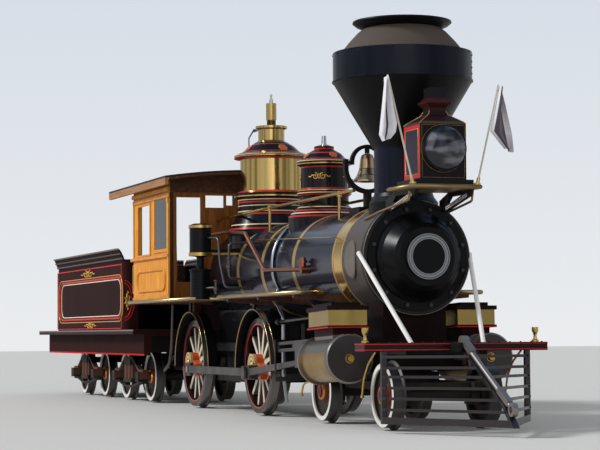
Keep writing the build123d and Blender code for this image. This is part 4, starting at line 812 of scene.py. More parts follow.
def scroll_runs(size):
    """A plain gilt scroll as flat runs of (across, up): two spirals, a diamond and two tendrils."""
    runs = []
    for side in (-1, 1):
        spiral, tendril = [], []
        for step in range(41):
            share = step / 40
            angle = math.pi * (0.5 + 2.6 * share)
            reach = size * (0.62 - 0.50 * share)
            spiral.append((side * (size * 0.72 + reach * math.cos(angle)), reach * math.sin(angle)))
        for step in range(13):
            share = step / 12
            rise = size * 0.34 * math.sin(2 * math.pi * share) * (1 - share)
            tendril.append((side * size * (1.0 + 1.1 * share), rise))
        runs += [spiral, tendril]
    runs.append([(-0.25 * size, 0), (0, 0.5 * size), (0.25 * size, 0), (0, -0.5 * size), (-0.25 * size, 0)])
    return runs


def shoulder_bosses(name, middle_x, radius, height, slope, size):
    """Six sided painted bosses in gilt frames round a dome's shoulder."""
    outward = ring((0, 0, 0), (1, 0, 0), (0, 1, 0), 4, boss_turn / 90)
    places = [at(middle_x, 0, height) + way * radius for way in outward]
    ways = [way * math.cos(slope) + Vector((0, 0, math.sin(slope))) for way in outward]
    keep(bolts(name + "_frames", places, ways, size * 1.22, 0.004), line_gold)
    keep(bolts(name, places, ways, size, 0.008), boss_orange)


sand_dome_paint = finish(
    "sand_dome_paint", (18, 13, 18), 0.25, coat=0.15, dust=0.1, bump=0.02,
    zones=(
        *stripes(dome_red, (2.194, 2.212), (2.262, 2.276), (2.436, 2.448), (2.502, 2.520), (2.742, 2.756),
                 (2.830, 2.838), (2.900, 2.912), (2.951, 2.965)),
        *stripes(dome_cream, (2.232, 2.246), (2.300, 2.312), (2.458, 2.468), (2.812, 2.822)),
        *stripes(dome_gold, (2.486, 2.499), (2.781, 2.792)),
        ([("z", 2.985, 3.005)], (206, 168, 96), 0.9, 0.25),
        ([("z", 3.005, 3.2)], (206, 206, 206), 1.0, 0.2),
    ),
)
coat_with(sand_dome_paint, "sand_dome")
scroll_middle = at(sand_dome_x, 0, 2.615)
scroll_radius = 0.264
for number in range(4):
    scrolls = []
    for run in scroll_runs(0.060):
        places = []
        for across, up in run:
            turn = math.radians(90 * number - 32) + across / scroll_radius
            reach = Vector((scroll_radius * math.cos(turn), scroll_radius * math.sin(turn), up))
            places.append(scroll_middle + reach)
        scrolls.append(places)
    keep(wire(f"sand_dome_scroll_{number + 1}", scrolls, 0.0062), line_gold)
shoulder_bosses("sand_dome_bosses", sand_dome_x, 0.2135, 2.856, math.radians(45), 0.040)


# Steam dome and valves
# A bright brass casing between dark mouldings lined in red, cream and gold, a
# dark shoulder with painted bosses, and the brass turret with its valves.
steam_dome_x = -1.166
steam_dome_paint = finish(
    "steam_dome_paint", (18, 13, 18), 0.25, coat=0.15, dust=0.08, bump=0.02,
    zones=(
        *stripes(dome_red, (2.150, 2.166), (2.330, 2.346), (2.470, 2.485), (2.590, 2.616), (2.990, 3.006),
                 (3.084, 3.090), (3.170, 3.180)),
        *stripes(dome_cream, (2.200, 2.214), (2.362, 2.376), (2.430, 2.440), (2.500, 2.512),
                 (3.038, 3.048)),
        *stripes(dome_gold, (2.541, 2.556), (3.020, 3.030), (3.058, 3.068)),
        ([("z", 2.616, 2.990)], (188, 160, 98), 1.0, 0.16),
        ([("z", 3.200, 3.5)], (188, 160, 98), 1.0, 0.18),
    ),
)
coat_with(steam_dome_paint, "steam_dome")
shoulder_bosses("steam_dome_bosses", steam_dome_x, 0.3075, 3.095, math.radians(47), 0.050)
valve_brass = finish(
    "valve_brass", (186, 158, 98), 0.28, metal=1.0, dust=0.2, bump=0.04,
    zones=(
        ([("z", 3.30, 3.47), ("side", 0.0, 0.062)], (92, 74, 52), 1.0, 0.35),
        ([("x", 0.2, 0.98)], (96, 104, 116), 0.9, 0.3),
        ([("z", 3.676, 3.9)], (196, 190, 176), 1.0, 0.25),
    ),
)
coat_with(valve_brass, "safety_valves")
whistle_x = steam_dome_x - 0.62
lever = run_of(1, (whistle_x, -0.02, 3.40), (whistle_x - 0.12, -0.05, 3.30),
               (whistle_x - 0.12, -0.05, 3.14))
keep(wire("whistle_lever", [lever], 0.010), pipe_steel)


# Bell
# Cast bronze with two fine rings turned in it, under an iron yoke that hangs
# between the arms of its stand.
yoke_black = ((26, 25, 27), 0.0, 0.45)
bell_ring = ((120, 92, 66), 1.0, 0.4)
bell_metal = finish(
    "bell_bronze", (204, 168, 128), 0.3, metal=1.0, dust=0.15, dust_colour=(120, 90, 70), bump=0.03,
    zones=(
        *stripes(yoke_black, (2.795, 2.95)),
        ([("side", 0.1495, 0.3)], *yoke_black),
        ([("z", 2.655, 2.95), ("side", 0.095, 0.3)], *yoke_black),
        *stripes(bell_ring, (2.560, 2.568), (2.630, 2.636)),
    ),
)
coat_with(bell_metal, "bell")


# Headlight
# A square sheet iron case in dark maroon with gold lines, a dark panel in a red
# frame on each side, a swept roof with a chimney, and bulged glass in a ring.
lamp_line_z = 2.64
lamp_face_x = 4.0812
lamp_side = ("side", 0.2345, 0.24)
lamp_paint = finish(
    "lamp_paint", (19, 10, 12), 0.3, coat=0.05, dust=0.1, bump=0.03,
    line=("x", 0.0, lamp_line_z + rail_top_z),
    zones=(
        ([("z", 2.385, 2.893), lamp_side, ("x", 5.893, 6.286)], (190, 36, 42), 0.0, 0.35),
        ([("z", 2.428, 2.850), lamp_side, ("x", 5.933, 6.246)], (34, 26, 46), 0.0, 0.3),
        ([("z", 2.899, 2.926)], (84, 66, 50), 0.3, 0.35),
        ([("z", 2.926, 3.076)], (38, 20, 20), 0.0, 0.35),
        ([("z", 3.076, 3.166)], (60, 18, 20), 0.0, 0.35),
        ([("z", 3.166, 3.3)], (22, 20, 24), 0.0, 0.35),
        ([("round", 0.188, 0.1935), ("x", 6.24, 6.36)], (178, 40, 38), 0.0, 0.35),
        ([("round", 0.1935, 0.222), ("x", 6.30, 6.36)], (22, 18, 20), 0.0, 0.3),
    ),
)
coat_with(lamp_paint, "headlight")
lamp_glass, glass_tree, glass_shader = blank_material(
    "lamp_glass", Roughness=0.05, Metallic=0.12, Coat_Weight=0.3,
)
# Painted reflection: flattened noise streaks the glass between dark blue and grey, like a landscape mirrored
# in it
glass_place = node(glass_tree, "TexCoord", {}).outputs["Object"]
reflection_stretch = {"Vector": glass_place, "Scale": (2.0, 3.0, 9.0)}
glass_place = node(glass_tree, "Mapping", reflection_stretch).outputs["Vector"]
reflection_streaks = node(glass_tree, "TexNoise", {"Vector": glass_place, "Scale": 1.4}).outputs["Fac"]
painted_reflection_mix = reckon(glass_tree, "SUBTRACT", reflection_streaks, 0.42)
painted_reflection_mix = reckon(glass_tree, "MULTIPLY", painted_reflection_mix, 4.5, use_clamp=True)
feed(glass_tree, mix_node(glass_tree, "RGBA", painted_reflection_mix, shade(8, 13, 26), shade(104, 104, 112)),
     glass_shader.inputs["Base Color"])
coat_with(lamp_glass, "headlight_lens")
glass_bulge = [(0.206, 0.0), (0.203, 0.006), (0.190, 0.014), (0.165, 0.022), (0.130, 0.030), (0.090, 0.036),
               (0.045, 0.040), (0.004, 0.041)]
bulged = turned("lamp_glass_front", glass_bulge, at(4.1355, 0, lamp_line_z), (1, 0, 0), 48, closed=False)
keep(bulged, lamp_glass)
square_corners = ((-0.218, 2.363), (0.218, 2.363), (0.218, 2.862), (-0.218, 2.862))
square = [at(lamp_face_x, y, z) for y, z in square_corners]
circle = ring(at(lamp_face_x, 0, lamp_line_z), (0, 0.2275, 0), (0, 0, 0.2275), 48)
lamp_middle_x = 3.8725
roof_reach = 0.2075
roof_hips = (
    # share of the reach, distance out, height
    (1.0, 0.236, 2.881),
    (0.94, 0.220, 2.897),
    (0.68, 0.155, 2.938),
    (0.46, 0.102, 2.972),
    (0.38, 0.084, 3.012),
)
side_frames, roof_edges, lamp_rails = [], [], []
for side in sides:
    side_frames.append(run_of(side, (3.715, 0.2368, 2.400), (4.030, 0.2368, 2.400), (4.030, 0.2368, 2.826),
                              (3.715, 0.2368, 2.826)))
    lamp_rails.append(bent(run_of(side, (4.02, 0.325, 2.235), (4.00, 0.325, 2.15), (3.30, 0.36, 2.075),
                                  (3.02, 0.40, 2.02)), 0.03))
    for end in (-1, 1):
        roof_edges.append([at(lamp_middle_x + end * roof_reach * share, side * half, high)
                           for share, half, high in roof_hips])
lamp_line = finish("lamp_line", (170, 140, 96), 0.4, metal=0.3, dust=0.1, bump=0.0)
keep(wire("lamp_lines", [square, circle], 0.0018, closed=True), lamp_line)
keep(wire("lamp_side_lines", side_frames, 0.0034, closed=True), line_gold)
keep(wire("lamp_roof_beads", roof_edges, 0.0045), lamp_line)
shelf_brass = finish("shelf_brass", (150, 126, 88), 0.32, metal=0.7, dust=0.3, bump=0.05)
bracket_paint = finish("bracket_black", (24, 23, 25), 0.4, dust=0.3,
                       zones=stripes(((140, 114, 78), 0.6, 0.35), (2.279, 2.325)))
coat_with(bracket_paint, "headlight_bracket")
shelf_corners = ((3.545, -0.352), (4.147, -0.352), (4.147, 0.352), (3.545, 0.352))
shelf_line = [at(x, y, 2.276) for x, y in shelf_corners]
keep(wire("shelf_bead", [shelf_line], 0.020, sides=4), shelf_brass)
keep(wire("lamp_rails", lamp_rails, 0.012, sides=3), shelf_brass)
white_trim = finish("white_trim", (228, 226, 220), 0.4, dust=0.2, bump=0.0)
lace = []
for leg_y in (-0.3015, -0.2665, 0.2665, 0.3015):
    for number in range(15):
        middle = at(3.515 + 0.034 * number, leg_y, 2.110 + 0.034 * number * 0.196)
        lace.append(ring(middle, (0.019, 0, 0), (0, 0, 0.014), 10))
keep(wire("bracket_lace", lace, 0.0035, closed=True), white_trim)


# Staffs and flags
# Turned wooden staffs in brass sockets, each with a plain cotton flag that
# hangs limp in folds. One is white with a grey stripe of painted shade down a
# fold, and one dark grey with white edges.
staff_paint = finish("staff_paint", (206, 200, 188), 0.4, dust=0.1,
                     zones=stripes(((206, 176, 112), 0.8, 0.3), (2.30, 2.39)))
coat_with(staff_paint, "flag_staffs")

# Plain woven cotton: faintly uneven dye and the fine relief of its threads
weave_tree, weave_in, weave_out = group_of(
    "cotton_weave", {"Light": (1.0, 1.0, 1.0, 1.0), "Dark": (0.8, 0.8, 0.8, 1.0)},
    {"Color": (1.0, 1.0, 1.0, 1.0), "Height": 0.0},
)
weave_place = node(weave_tree, "TexCoord", {}).outputs["Object"]
dye = node(weave_tree, "TexNoise", {"Vector": weave_place, "Scale": 9.0}).outputs["Fac"]
threads = {"Vector": weave_place, "Scale": 260.0}
weft = node(weave_tree, "TexWave", threads, bands_direction="Z").outputs["Fac"]
warp = node(weave_tree, "TexWave", threads, bands_direction="Y").outputs["Fac"]
feed(weave_tree, mix_node(weave_tree, "RGBA", dye, weave_in["Dark"], weave_in["Light"]), weave_out["Color"])
feed(weave_tree, reckon(weave_tree, "ADD", weft, warp), weave_out["Height"])


def cotton(name, red, green, blue):
    """Plain woven cotton of one colour."""
    material, tree, shader = blank_material(name, Roughness=0.85, Sheen_Weight=0.25)
    feeds = {"Light": shade(red, green, blue), "Dark": shade(red * 0.86, green * 0.86, blue * 0.88)}
    cloth = node(tree, "Group", feeds, node_tree=weave_tree).outputs
    relief = node(tree, "Bump", {"Strength": 0.3, "Distance": 0.0006, "Height": cloth["Height"]})
    feed(tree, cloth["Color"], shader.inputs["Base Color"])
    feed(tree, relief.outputs["Normal"], shader.inputs["Normal"])
    return material


white_cotton = cotton("white_cotton", 250, 248, 252)
grey_dye_and_shade_cotton = cotton("grey_dye_and_shade_cotton", 84, 74, 88)


def fold_depth(span, length):
    """How deep one wave of cloth is when its length lies within a shorter span."""
    low, high = 0.0, length
    for _ in range(30):
        depth = (low + high) / 2
        total = 0.0
        for step in range(24):
            slope = math.pi * depth / span * math.cos(math.pi * (step + 0.5) / 24)
            total += math.sqrt(1 + slope * slope) * span / 24
        low, high = (depth, high) if total < length else (low, depth)
    return low


def limp_flag(name, head, foot, side, edges, width, waves, drift, dye_and_shade_band):
    """A flag that hangs in upright folds from its staff.

    Each edge row is (drop from the head, near edge, far edge), the edges measured out from the staff.
    """
    rows, columns = 56, 16 * waves
    points, faces = [], []
    for row in range(rows + 1):
        drop = edges[-1][0] * row / rows
        for before, after in zip(edges[:-1], edges[1:]):
            if before[0] <= drop <= after[0] + 1e-9:
                share = (drop - before[0]) / (after[0] - before[0])
                near = before[1] + (after[1] - before[1]) * share
                far = before[2] + (after[2] - before[2]) * share
        on_staff = head + (foot - head) * drop / (head.z - foot.z)
        depth = fold_depth((far - near) / waves, width / waves)
        for column in range(columns + 1):
            across = column / columns
            wave = math.sin(math.pi * across * waves)
            points.append(on_staff + Vector((depth * wave * math.cos(drift * row / rows),
                                             side * (near + (far - near) * across), -0.03 * across)))
    for row in range(rows):
        for column in range(columns):
            a = row * (columns + 1) + column
            faces.append((a, a + 1, a + columns + 2, a + columns + 1))
    piece = mesh_piece(name, points, faces, 80)
    piece.data.materials.append(white_cotton)
    piece.data.materials.append(grey_dye_and_shade_cotton)
    # Faces in the band take the grey cloth: dye on the left flag, painted shade of a fold on the right
    for face in piece.data.polygons:
        across = (face.index % columns + 0.5) / columns
        face.material_index = 1 if dye_and_shade_band[0] < across < dye_and_shade_band[1] else 0
    return piece


flag_width, flag_drop = 0.30, 0.60
flag_table = (
    # name, stands for, side, head, foot, edge rows, waves, grey part: dye on the left flag, painted shade of
    # a fold on the right
    ("flag_cloth_right", "flag_right", -1, (4.040, -0.545, 3.320), (4.120, -0.330, 2.297),
     ((0.0, 0.010, 0.030), (0.10, 0.012, 0.066), (0.226, 0.012, 0.110), (0.45, 0.014, 0.190),
      (0.54, 0.05, 0.222), (flag_drop, 0.12, 0.205)), 3, (0.44, 0.56)),
    ("flag_cloth_left", "flag_left", 1, (4.120, 0.560, 3.245), (4.120, 0.330, 2.297),
     ((0.0, 0.010, 0.034), (0.16, 0.012, 0.116), (0.43, 0.012, 0.244), (0.52, 0.11, 0.276),
      (flag_drop, 0.20, 0.300)), 2, (0.14, 0.78)),
)
for cloth_name, flag_node, side, head, foot, edges, waves, dye_and_shade in flag_table:
    cloth = limp_flag(cloth_name, at(*head), at(*foot), side, edges, flag_width, waves, 0.5, dye_and_shade)
    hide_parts(flag_node)
    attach(cloth, "engine")


# Running boards
# Varnished brown boards on iron brackets, rounded in front, edged all round
# with half round brass.
board_top_z = 1.3075

# Wood grain: streaks that run along the axis that is stretched least
wood_tree, wood_in, wood_out = group_of(
    "wood_grain", {"Stretch": (1.0, 14.0, 14.0), "Scale": 1.6}, {"Streaks": 0.0, "Height": 0.0},
)
wood_place = node(wood_tree, "TexCoord", {}).outputs["Object"]
wood_stretch = {"Vector": wood_place, "Scale": wood_in["Stretch"]}
wood_place = node(wood_tree, "Mapping", wood_stretch).outputs["Vector"]
wood_noise = {"Vector": wood_place, "Scale": wood_in["Scale"], "Detail": 8.0, "Distortion": 1.2}
grain = node(wood_tree, "TexNoise", wood_noise).outputs["Fac"]
streaks = reckon(wood_tree, "SUBTRACT", grain, 0.5)
feed(wood_tree, reckon(wood_tree, "MULTIPLY_ADD", streaks, 2.6, 0.5, use_clamp=True), wood_out["Streaks"])
feed(wood_tree, grain, wood_out["Height"])


def wood(name, pale, dark, roughness, coat, stretch=(1.0, 14.0, 14.0), scale=1.6, zones=(), line=None,
         gloss=0.2):
    """Varnished wood; each zone of other tones is (limits, pale, dark): other paint and wood on the roof,
    and painted shade on the cab.
    """
    material, tree, shader = blank_material(
        name, Coat_Weight=coat, Coat_Roughness=0.1, Specular_IOR_Level=gloss,
    )
    figure = node(tree, "Group", {"Stretch": stretch, "Scale": scale}, node_tree=wood_tree).outputs
    colour = mix_node(tree, "RGBA", figure["Streaks"], shade(*dark), shade(*pale))
    if zones:
        found = measures(tree, line)
    for limits, zone_pale, zone_dark in zones:
        other = mix_node(tree, "RGBA", figure["Streaks"], shade(*zone_dark), shade(*zone_pale))
        colour = mix_node(tree, "RGBA", zone_mask(tree, found, limits), colour, other)
    weather(tree, shader, colour, roughness, 0.3, (60, 44, 30), 3.0, 0.1, figure["Height"])
    return material


board_wood = wood("board_wood", (112, 76, 58), (66, 40, 34), 0.4, 0.2)
coat_with(board_wood, "running_boards", "cab_deck")
board_brass = finish("board_brass", (186, 162, 116), 0.28, metal=0.95, dust=0.4, dust_colour=(96, 70, 46),
                     bump=0.06)
board_edges = []
for side in sides:
    edge = run_of(side, (-0.07, 0.62, board_top_z), (-0.07, 1.0, board_top_z), (2.69, 1.0, board_top_z))
    edge += arc(at(2.33, side * 0.96, board_top_z), (0.36, 0, 0), (0, -side * 0.36, 0), 0, 90, 10)
    edge.append(at(2.0, side * 0.60, board_top_z))
    board_edges.append(edge)
    board_edges.append(run_of(side, (-3.79, 1.1, board_top_z), (-0.88, 1.1, board_top_z),
                              (-0.88, 0.61, board_top_z)))
keep(wire("board_edge_strips", board_edges, 0.019, sides=4), board_brass)


# Splashers
# Black sheet guards over the driving wheels, each with a brass bead on its edge,
# a second bead inside it, and a polished strip between.
arch_z = 0.515
arch_steps = 40
coat_with(finish("splasher_paint", (13, 13, 15), 0.35, dust=0.3), "splashers")
strip_steel = finish("strip_steel", (134, 126, 116), 0.3, metal=0.9, dust=0.4, bump=0.05)


def arch(middle_x, y, radius):
    """A line along a splasher's edge."""
    return arc(at(middle_x, y, arch_z), (radius, 0, 0), (0, 0, radius), -2, 184, arch_steps)


beads, strip_points, strip_faces = [], [], []
for side in sides:
    for arch_x in (0.06, 0.06 - wheelbase):
        beads += [arch(arch_x, side * 0.6405, 0.656), arch(arch_x, side * 0.585, 0.656)]
        start = len(strip_points)
        for pair in zip(arch(arch_x, side * 0.586, 0.6575), arch(arch_x, side * 0.639, 0.6575)):
            strip_points += pair
        for a in range(start, start + 2 * arch_steps, 2):
            strip_faces.append((a, a + 1, a + 3, a + 2))
keep(wire("splasher_beads", beads, 0.007, sides=3), board_brass)
keep(mesh_piece("splasher_strips", strip_points, strip_faces, 60), strip_steel)


# Cab
# Framed in hardwood varnished golden brown: posts, sills and window frames
# pinned over boarded panels, with a boiler front, a gauge and levers inside.
wall_y = 1.049
skin_y = 1.062
cab_front_x = -2.352
eased_edge = 0.004


def planks(name, boxes):
    """Plain boards with their edges eased: each box is its two far corners."""
    builder = bmesh.new()
    for low, high in boxes:
        middle = (low + high) / 2
        size = [abs(across) for across in high - low]
        board_shape = Matrix.Translation(middle) @ Matrix.Diagonal((*size, 1.0))
        bmesh.ops.create_cube(builder, size=1.0, matrix=board_shape)
    bmesh.ops.bevel(builder, geom=list(builder.edges), offset=eased_edge, segments=2, affect="EDGES")
    mesh = bpy.data.meshes.new(name)
    builder.to_mesh(mesh)
    builder.free()
    mesh.shade_smooth()
    mesh.set_sharp_from_angle(angle=math.radians(30))
    return placed(name, mesh)


def rounded(low_x, high_x, low_z, high_z, radius, y):
    """The points of a rectangle with rounded corners on an upright face."""
    run = []
    for x, z, start in ((high_x - radius, high_z - radius, 0), (low_x + radius, high_z - radius, 90),
                        (low_x + radius, low_z + radius, 180), (high_x - radius, low_z + radius, 270)):
        run += arc(at(x, y, z), (radius, 0, 0), (0, 0, radius), start, 90, 6)
    return run


cab_wood = wood(
    "cab_wood", (240, 168, 64), (206, 128, 40), 0.34, 0.03, stretch=(10.0, 10.0, 1.0), scale=2.2, gloss=0.03,
    zones=(
        # Painted shade: the same wood in darker tones on the cab's front end and on all faces inward of the
        # outer wall faces
        ([("x", 0.2325, 0.40)], (84, 52, 34), (50, 32, 24)),
        ([("side", 0.0, 1.0045)], (150, 96, 50), (110, 66, 32)),
    ),
)
coat_with(cab_wood, "cab_walls")
trim_wood = wood("cab_trim_wood", (236, 164, 66), (200, 124, 44), 0.3, 0.04, stretch=(1.2, 10.0, 10.0),
                 scale=2.4, gloss=0.04)
post_wood = wood("cab_post_wood", (244, 176, 76), (208, 134, 50), 0.3, 0.04, stretch=(10.0, 10.0, 1.2),
                 scale=2.4, gloss=0.04)
pane_glass = finish("pane_glass", (52, 66, 72), 0.06, metal=0.25, coat=0.5, dust=0.4, dust_scale=1.0,
                    bump=0.0)
cab_rails = (
    # low x and z, high x and z, face
    (-3.79, 1.835, -1.94, 1.875, 1.082),
    (-3.735, 1.32, -1.945, 1.372, 1.066),
    (-3.735, 2.565, -1.945, 2.618, 1.066),
    (-3.738, 2.640, -1.942, 2.690, 1.078),
    (-3.503, 2.520, -2.860, 2.555, skin_y),
    (-3.503, 1.878, -2.860, 1.905, skin_y),
    (-2.70, 1.900, -2.00, 1.945, skin_y),
)
cab_posts = (
    # low x and z, high x and z, face
    (-3.505, 1.905, -3.468, 2.520, skin_y),
    (-2.895, 1.905, -2.858, 2.520, skin_y),
    (-2.70, 1.945, -2.645, 2.565, skin_y),
    (-2.065, 1.945, -2.010, 2.565, skin_y),
    (-1.992, 1.375, -1.938, 2.50, 1.074),
    (-2.002, 2.50, -1.930, 2.555, 1.084),
    (-3.735, 1.875, -3.690, 2.565, skin_y),
)
for hand, side in hands:
    for name, table, timber in (("cab_rails", cab_rails, trim_wood), ("cab_posts", cab_posts, post_wood)):
        boxes = [(at(low_x, side * wall_y, low_z), at(high_x, side * face, high_z))
                 for low_x, low_z, high_x, high_z, face in table]
        keep(planks(f"{name}_{hand}", boxes), timber)
    bead = rounded(-3.516, -2.155, 1.441, 1.693, 0.100, side * 1.052)
    keep(wire(f"cab_panel_bead_{hand}", [bead], 0.018, closed=True), trim_wood)
    irons = []
    for iron_y in (0.985, 1.035):
        irons.append(bent(run_of(side, (-3.725, iron_y, 1.43), (-3.82, iron_y, 1.43), (-3.82, iron_y, 1.79),
                                 (-3.725, iron_y, 1.79)), 0.03))
    keep(wire(f"grab_irons_{hand}", irons, 0.010, sides=3), brass)
    pane_points = []
    for pane_y in (1.0515, 1.0555):
        pane_points += run_of(side, (-2.632, pane_y, 1.950), (-2.080, pane_y, 1.950),
                              (-2.080, pane_y, 2.560), (-2.632, pane_y, 2.560))
    pane_faces = [(0, 1, 2, 3), (4, 5, 6, 7)] + skin(0, 2, 4)
    keep(mesh_piece(f"cab_pane_{hand}", pane_points, pane_faces, 20), pane_glass)

line_cream = finish("line_cream", (232, 220, 196), 0.4, dust=0.15, bump=0.0)
backhead_paint = finish("backhead_black", (30, 29, 31), 0.45, dust=0.5)
door_outline = [(0.001, 0.0), (0.175, 0.0), (0.175, -0.022), (0.150, -0.034), (0.001, -0.040)]
rim_outline = [(0.070, 0.0), (0.100, 0.0), (0.100, -0.050), (0.082, -0.056), (0.078, -0.040),
               (0.070, -0.040)]
dial_outline = [(0.001, 0.0), (0.080, 0.0), (0.079, -0.036), (0.001, -0.038)]
gauge_place = at(cab_front_x, -0.16, 2.06)
fire_door = turned("fire_door", door_outline, at(cab_front_x, 0, 1.42), (1, 0, 0), 40, closed=False)
keep(fire_door, backhead_paint)
keep(turned("steam_gauge_rim", rim_outline, gauge_place, (1, 0, 0), 32), brass)
gauge_dial = turned("steam_gauge_dial", dial_outline, gauge_place, (1, 0, 0), 32, closed=False)
keep(gauge_dial, line_cream)
levers = [
    bent(run_of(1, (-2.34, 0.02, 1.96), (-2.44, 0.02, 1.96), (-2.46, -0.30, 1.99),
                (-2.47, -0.42, 2.0)), 0.02),
    bent(run_of(1, (-2.34, 0.22, 1.80), (-2.42, 0.22, 1.80), (-2.42, 0.22, 2.10),
                (-2.34, 0.22, 2.10)), 0.02),
    run_of(1, (-2.62, -0.78, 1.30), (-2.66, -0.78, 2.02)),
]
keep(wire("cab_levers", levers, 0.013), pipe_steel)
roof_wood = wood(
    "roof_wood", (96, 60, 38), (62, 38, 28), 0.5, 0.05, stretch=(1.0, 14.0, 14.0), scale=1.4,
    line=("x", 0.0, -5.134),
    zones=(
        ([("z", 2.702, 2.816), ("side", 1.150, 1.21), ("x", -2.3, 0.66)], (178, 128, 84), (140, 94, 58)),
        ([("z", 2.63, 2.86), ("side", 1.046, 1.053)], (198, 128, 60), (156, 92, 40)),
        ([("round", 8.022, 8.2), ("side", 0.0, 1.21)], (30, 28, 30), (18, 17, 19)),
    ),
)
coat_with(roof_wood, "cab_roof")


# Air pump
# Two black cylinders one above the other with brass bands, the lower one ribbed
# for cooling. Screw valves and steel pipes join it to the boiler. The feed hose
# behind it comes down from the deck, and is drawn here as one stiff bent pipe.
pump_paint = finish("pump_paint", (15, 15, 18), 0.3, dust=0.2,
                    zones=stripes(((206, 166, 90), 1.0, 0.25), (2.158, 2.191), (1.832, 1.871)))
coat_with(pump_paint, "air_pump")
rib_outline = [(0.112, -0.006), (0.1215, -0.003), (0.1215, 0.003), (0.112, 0.006)]
for number in range(12):
    rib = turned(f"pump_rib_{number + 1}", rib_outline, at(-0.96, -0.95, 1.335 + 0.0255 * number), steps=48)
    keep(rib, pump_paint)
coat_with(finish("feed_copper", (156, 100, 78), 0.32, metal=1.0, dust=0.4, bump=0.04), "feed_pipes")
pump_pipes = [
    bent(run_of(-1, (-0.90, 0.90, 2.02), (-0.60, 0.84, 2.00), (-0.53, 0.84, 1.72), (-0.40, 0.82, 1.43),
                (-0.40, 0.47, 1.41)), 0.05),
    bent(run_of(-1, (-0.17, 0.42, 1.94), (-0.17, 0.84, 1.92), (-0.17, 0.84, 1.53),
                (-0.17, 0.50, 1.50)), 0.05),
    run_of(-1, (-0.86, 0.92, 1.43), (-0.69, 0.84, 1.43)),
]
keep(wire("pump_pipes", pump_pipes, 0.014, sides=4), rod_steel)
valve_outline = [(0.001, 0.0), (0.020, 0.0), (0.020, 0.030), (0.032, 0.040), (0.032, 0.075), (0.016, 0.085),
                 (0.016, 0.140), (0.030, 0.145), (0.030, 0.158), (0.001, 0.160)]
for number, valve_place in enumerate(run_of(-1, (-0.69, 0.84, 1.36), (-0.17, 0.84, 1.60)), start=1):
    keep(turned(f"pump_valve_{number}", valve_outline, valve_place, steps=20), rod_steel)
hose_run = run_of(-1, (-2.74, 0.80, 1.265), (-2.77, 0.80, 0.92), (-2.81, 0.80, 0.72), (-2.92, 0.80, 0.50),
                  (-3.20, 0.80, 0.42), (-3.38, 0.62, 0.60), (-3.38, 0.34, 0.83))
keep(wire("feed_hose", [bent(hose_run, 0.09)], 0.016, sides=4), rod_steel)


# Hand rails and braces
# Brass rails on turned pillars, and white painted round braces from the
# smokebox down to the beam.
rail_brass = finish("rail_brass", (196, 158, 92), 0.26, metal=1.0, dust=0.25, dust_colour=(90, 70, 40),
                    bump=0.04)
coat_with(rail_brass, "handrails")
brace_paint = finish("brace_white", (246, 245, 243), 0.35, coat=0.1, dust=0.12, dust_colour=(150, 140, 130))
coat_with(brace_paint, "braces")


# Tender
# A riveted tank on a timber and iron frame, painted black maroon and lined in
# red, cream and gold round a blank panel, with flared boards round its top.
tank_face_y = 1.0015
tank_front_x = -4.4785
tender_paint = finish(
    "tender_maroon", (54, 29, 29), 0.34, dust=0.2, dust_scale=1.5, gloss=0.003,
    zones=(
        ([("x", -6.032, -2.502), ("z", 1.198, 1.640), ("side", 0.999, 1.01)], (46, 26, 27), 0.0, 0.3),
        ([("z", 1.90, 1.95)], (38, 29, 29), 0.0, 0.4),
        # Painted shade: near black on the tank's front face between its legs and on the inner faces round
        # the fuel space
        ([("x", -2.28, -2.25), ("side", 0.0, 0.80)], (15, 10, 11), 0.0, 0.5),
        ([("x", -7.0, -2.28), ("z", 0.90, 1.92), ("side", 0.0, 0.90)], (15, 10, 11), 0.0, 0.6),
    ),
)
coat_with(tender_paint, "tender_tank")
boards_paint = finish(
    "tender_boards_paint", (40, 28, 28), 0.35, dust=0.15, gloss=0.003,
    zones=(
        ([("z", 2.055, 2.10)], (132, 120, 116), 0.3, 0.4),
        ([("z", 1.989, 2.012)], (92, 82, 80), 0.3, 0.4),
        ([("z", 1.926, 1.950)], (104, 94, 92), 0.3, 0.4),
    ),
)
coat_with(boards_paint, "tender_boards")
deck_edge = ("side", 1.04, 1.06)
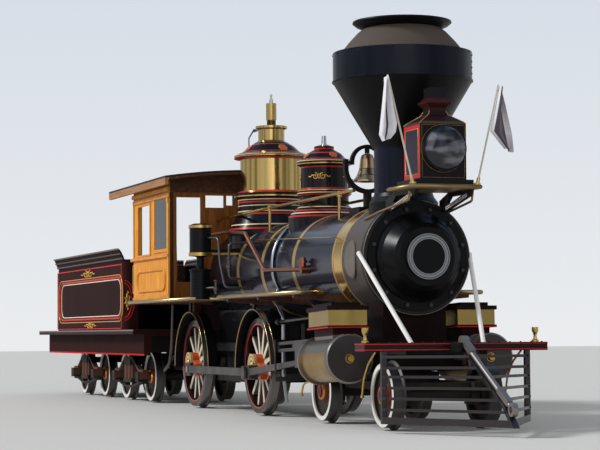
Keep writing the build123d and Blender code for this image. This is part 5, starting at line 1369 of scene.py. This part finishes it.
tender_frame_paint = finish(
    "tender_frame_paint", (50, 26, 26), 0.4, dust=0.3, gloss=0.003,
    zones=(
        ([("z", 0.9835, 0.99)], (84, 66, 54), 0.0, 0.6),
        # Painted highlight: a pale band along the top of the deck edge; below it the edge's own dark brown
        ([("z", 0.966, 0.99), deck_edge], (132, 116, 112), 0.3, 0.35),
        ([("z", 0.924, 0.966), deck_edge], (46, 34, 34), 0.3, 0.35),
        ([("z", 0.640, 0.668), ("side", 0.89, 0.95)], (196, 44, 46), 0.0, 0.4),
        ([("z", 0.30, 0.90), ("side", 0.0, 0.80)], (28, 24, 25), 0.0, 0.6),
    ),
)
coat_with(tender_frame_paint, "tender_frame")
tender_lines = (
    # name, low x, high x, low z, high z, corner, radius of the line, paint, slot
    ("tender_lines_red", -8.660, -4.590, 0.978, 1.835, 0.02, 0.009, line_red, "maroon"),
    ("tender_band_red", -8.470, -4.560, 1.115, 1.668, 0.18, 0.015, line_red, "maroon"),
    ("tender_lines_white", -8.379, -4.629, 1.150, 1.638, 0.16, 0.008, line_cream, "maroon"),
    ("tender_lines_gold", -8.593, -4.530, 1.074, 1.700, 0.20, 0.0075, line_gold, "brass"),
)
for name, low_x, high_x, low_z, high_z, corner, radius, paint, slot_name in tender_lines:
    runs = [rounded(low_x, high_x, low_z, high_z, corner, side * tank_face_y) for side in sides]
    keep(wire(name, runs, radius, closed=True), paint, "tender")
scrolls, front_lines, rivets, ways = [], [], [], []
for side in sides:
    for middle_x, middle_z, size in ((-6.60, 1.762, 0.085), (-6.46, 1.026, 0.072)):
        for run in scroll_runs(size):
            scrolls.append([at(middle_x + across * 2.4, side * tank_face_y, middle_z + up)
                            for across, up in run])
    for run in scroll_runs(0.060):
        scrolls.append([at(tank_front_x, side * (0.945 + up), 1.35 + across) for across, up in run])
    for grow in (0.0, 0.035):
        middle = at(tank_front_x, side * 0.985, 1.35)
        front_lines.append(arc(middle, (0, -side * (0.095 + grow), 0), (0, 0, 0.23 + grow), 90, -180, 16))
    for number in range(46):
        rivets += [at(-8.60 + 0.089 * number, side * 0.9995, rivet_z) for rivet_z in (0.995, 1.868)]
        ways += [(0, side, 0)] * 2
    rivets += [at(-4.478, side * 0.88, 1.03 + 0.08 * number) for number in range(11)]
    ways += [(1, 0, 0)] * 11
keep(wire("tender_scrolls", scrolls, 0.009), line_gold, "tender")
keep(wire("tender_front_lines", front_lines, 0.008), line_red, "tender")
keep(studs("tank_rivets", rivets, ways, 0.0085, 0.006, sides=6), tender_paint, "tender")
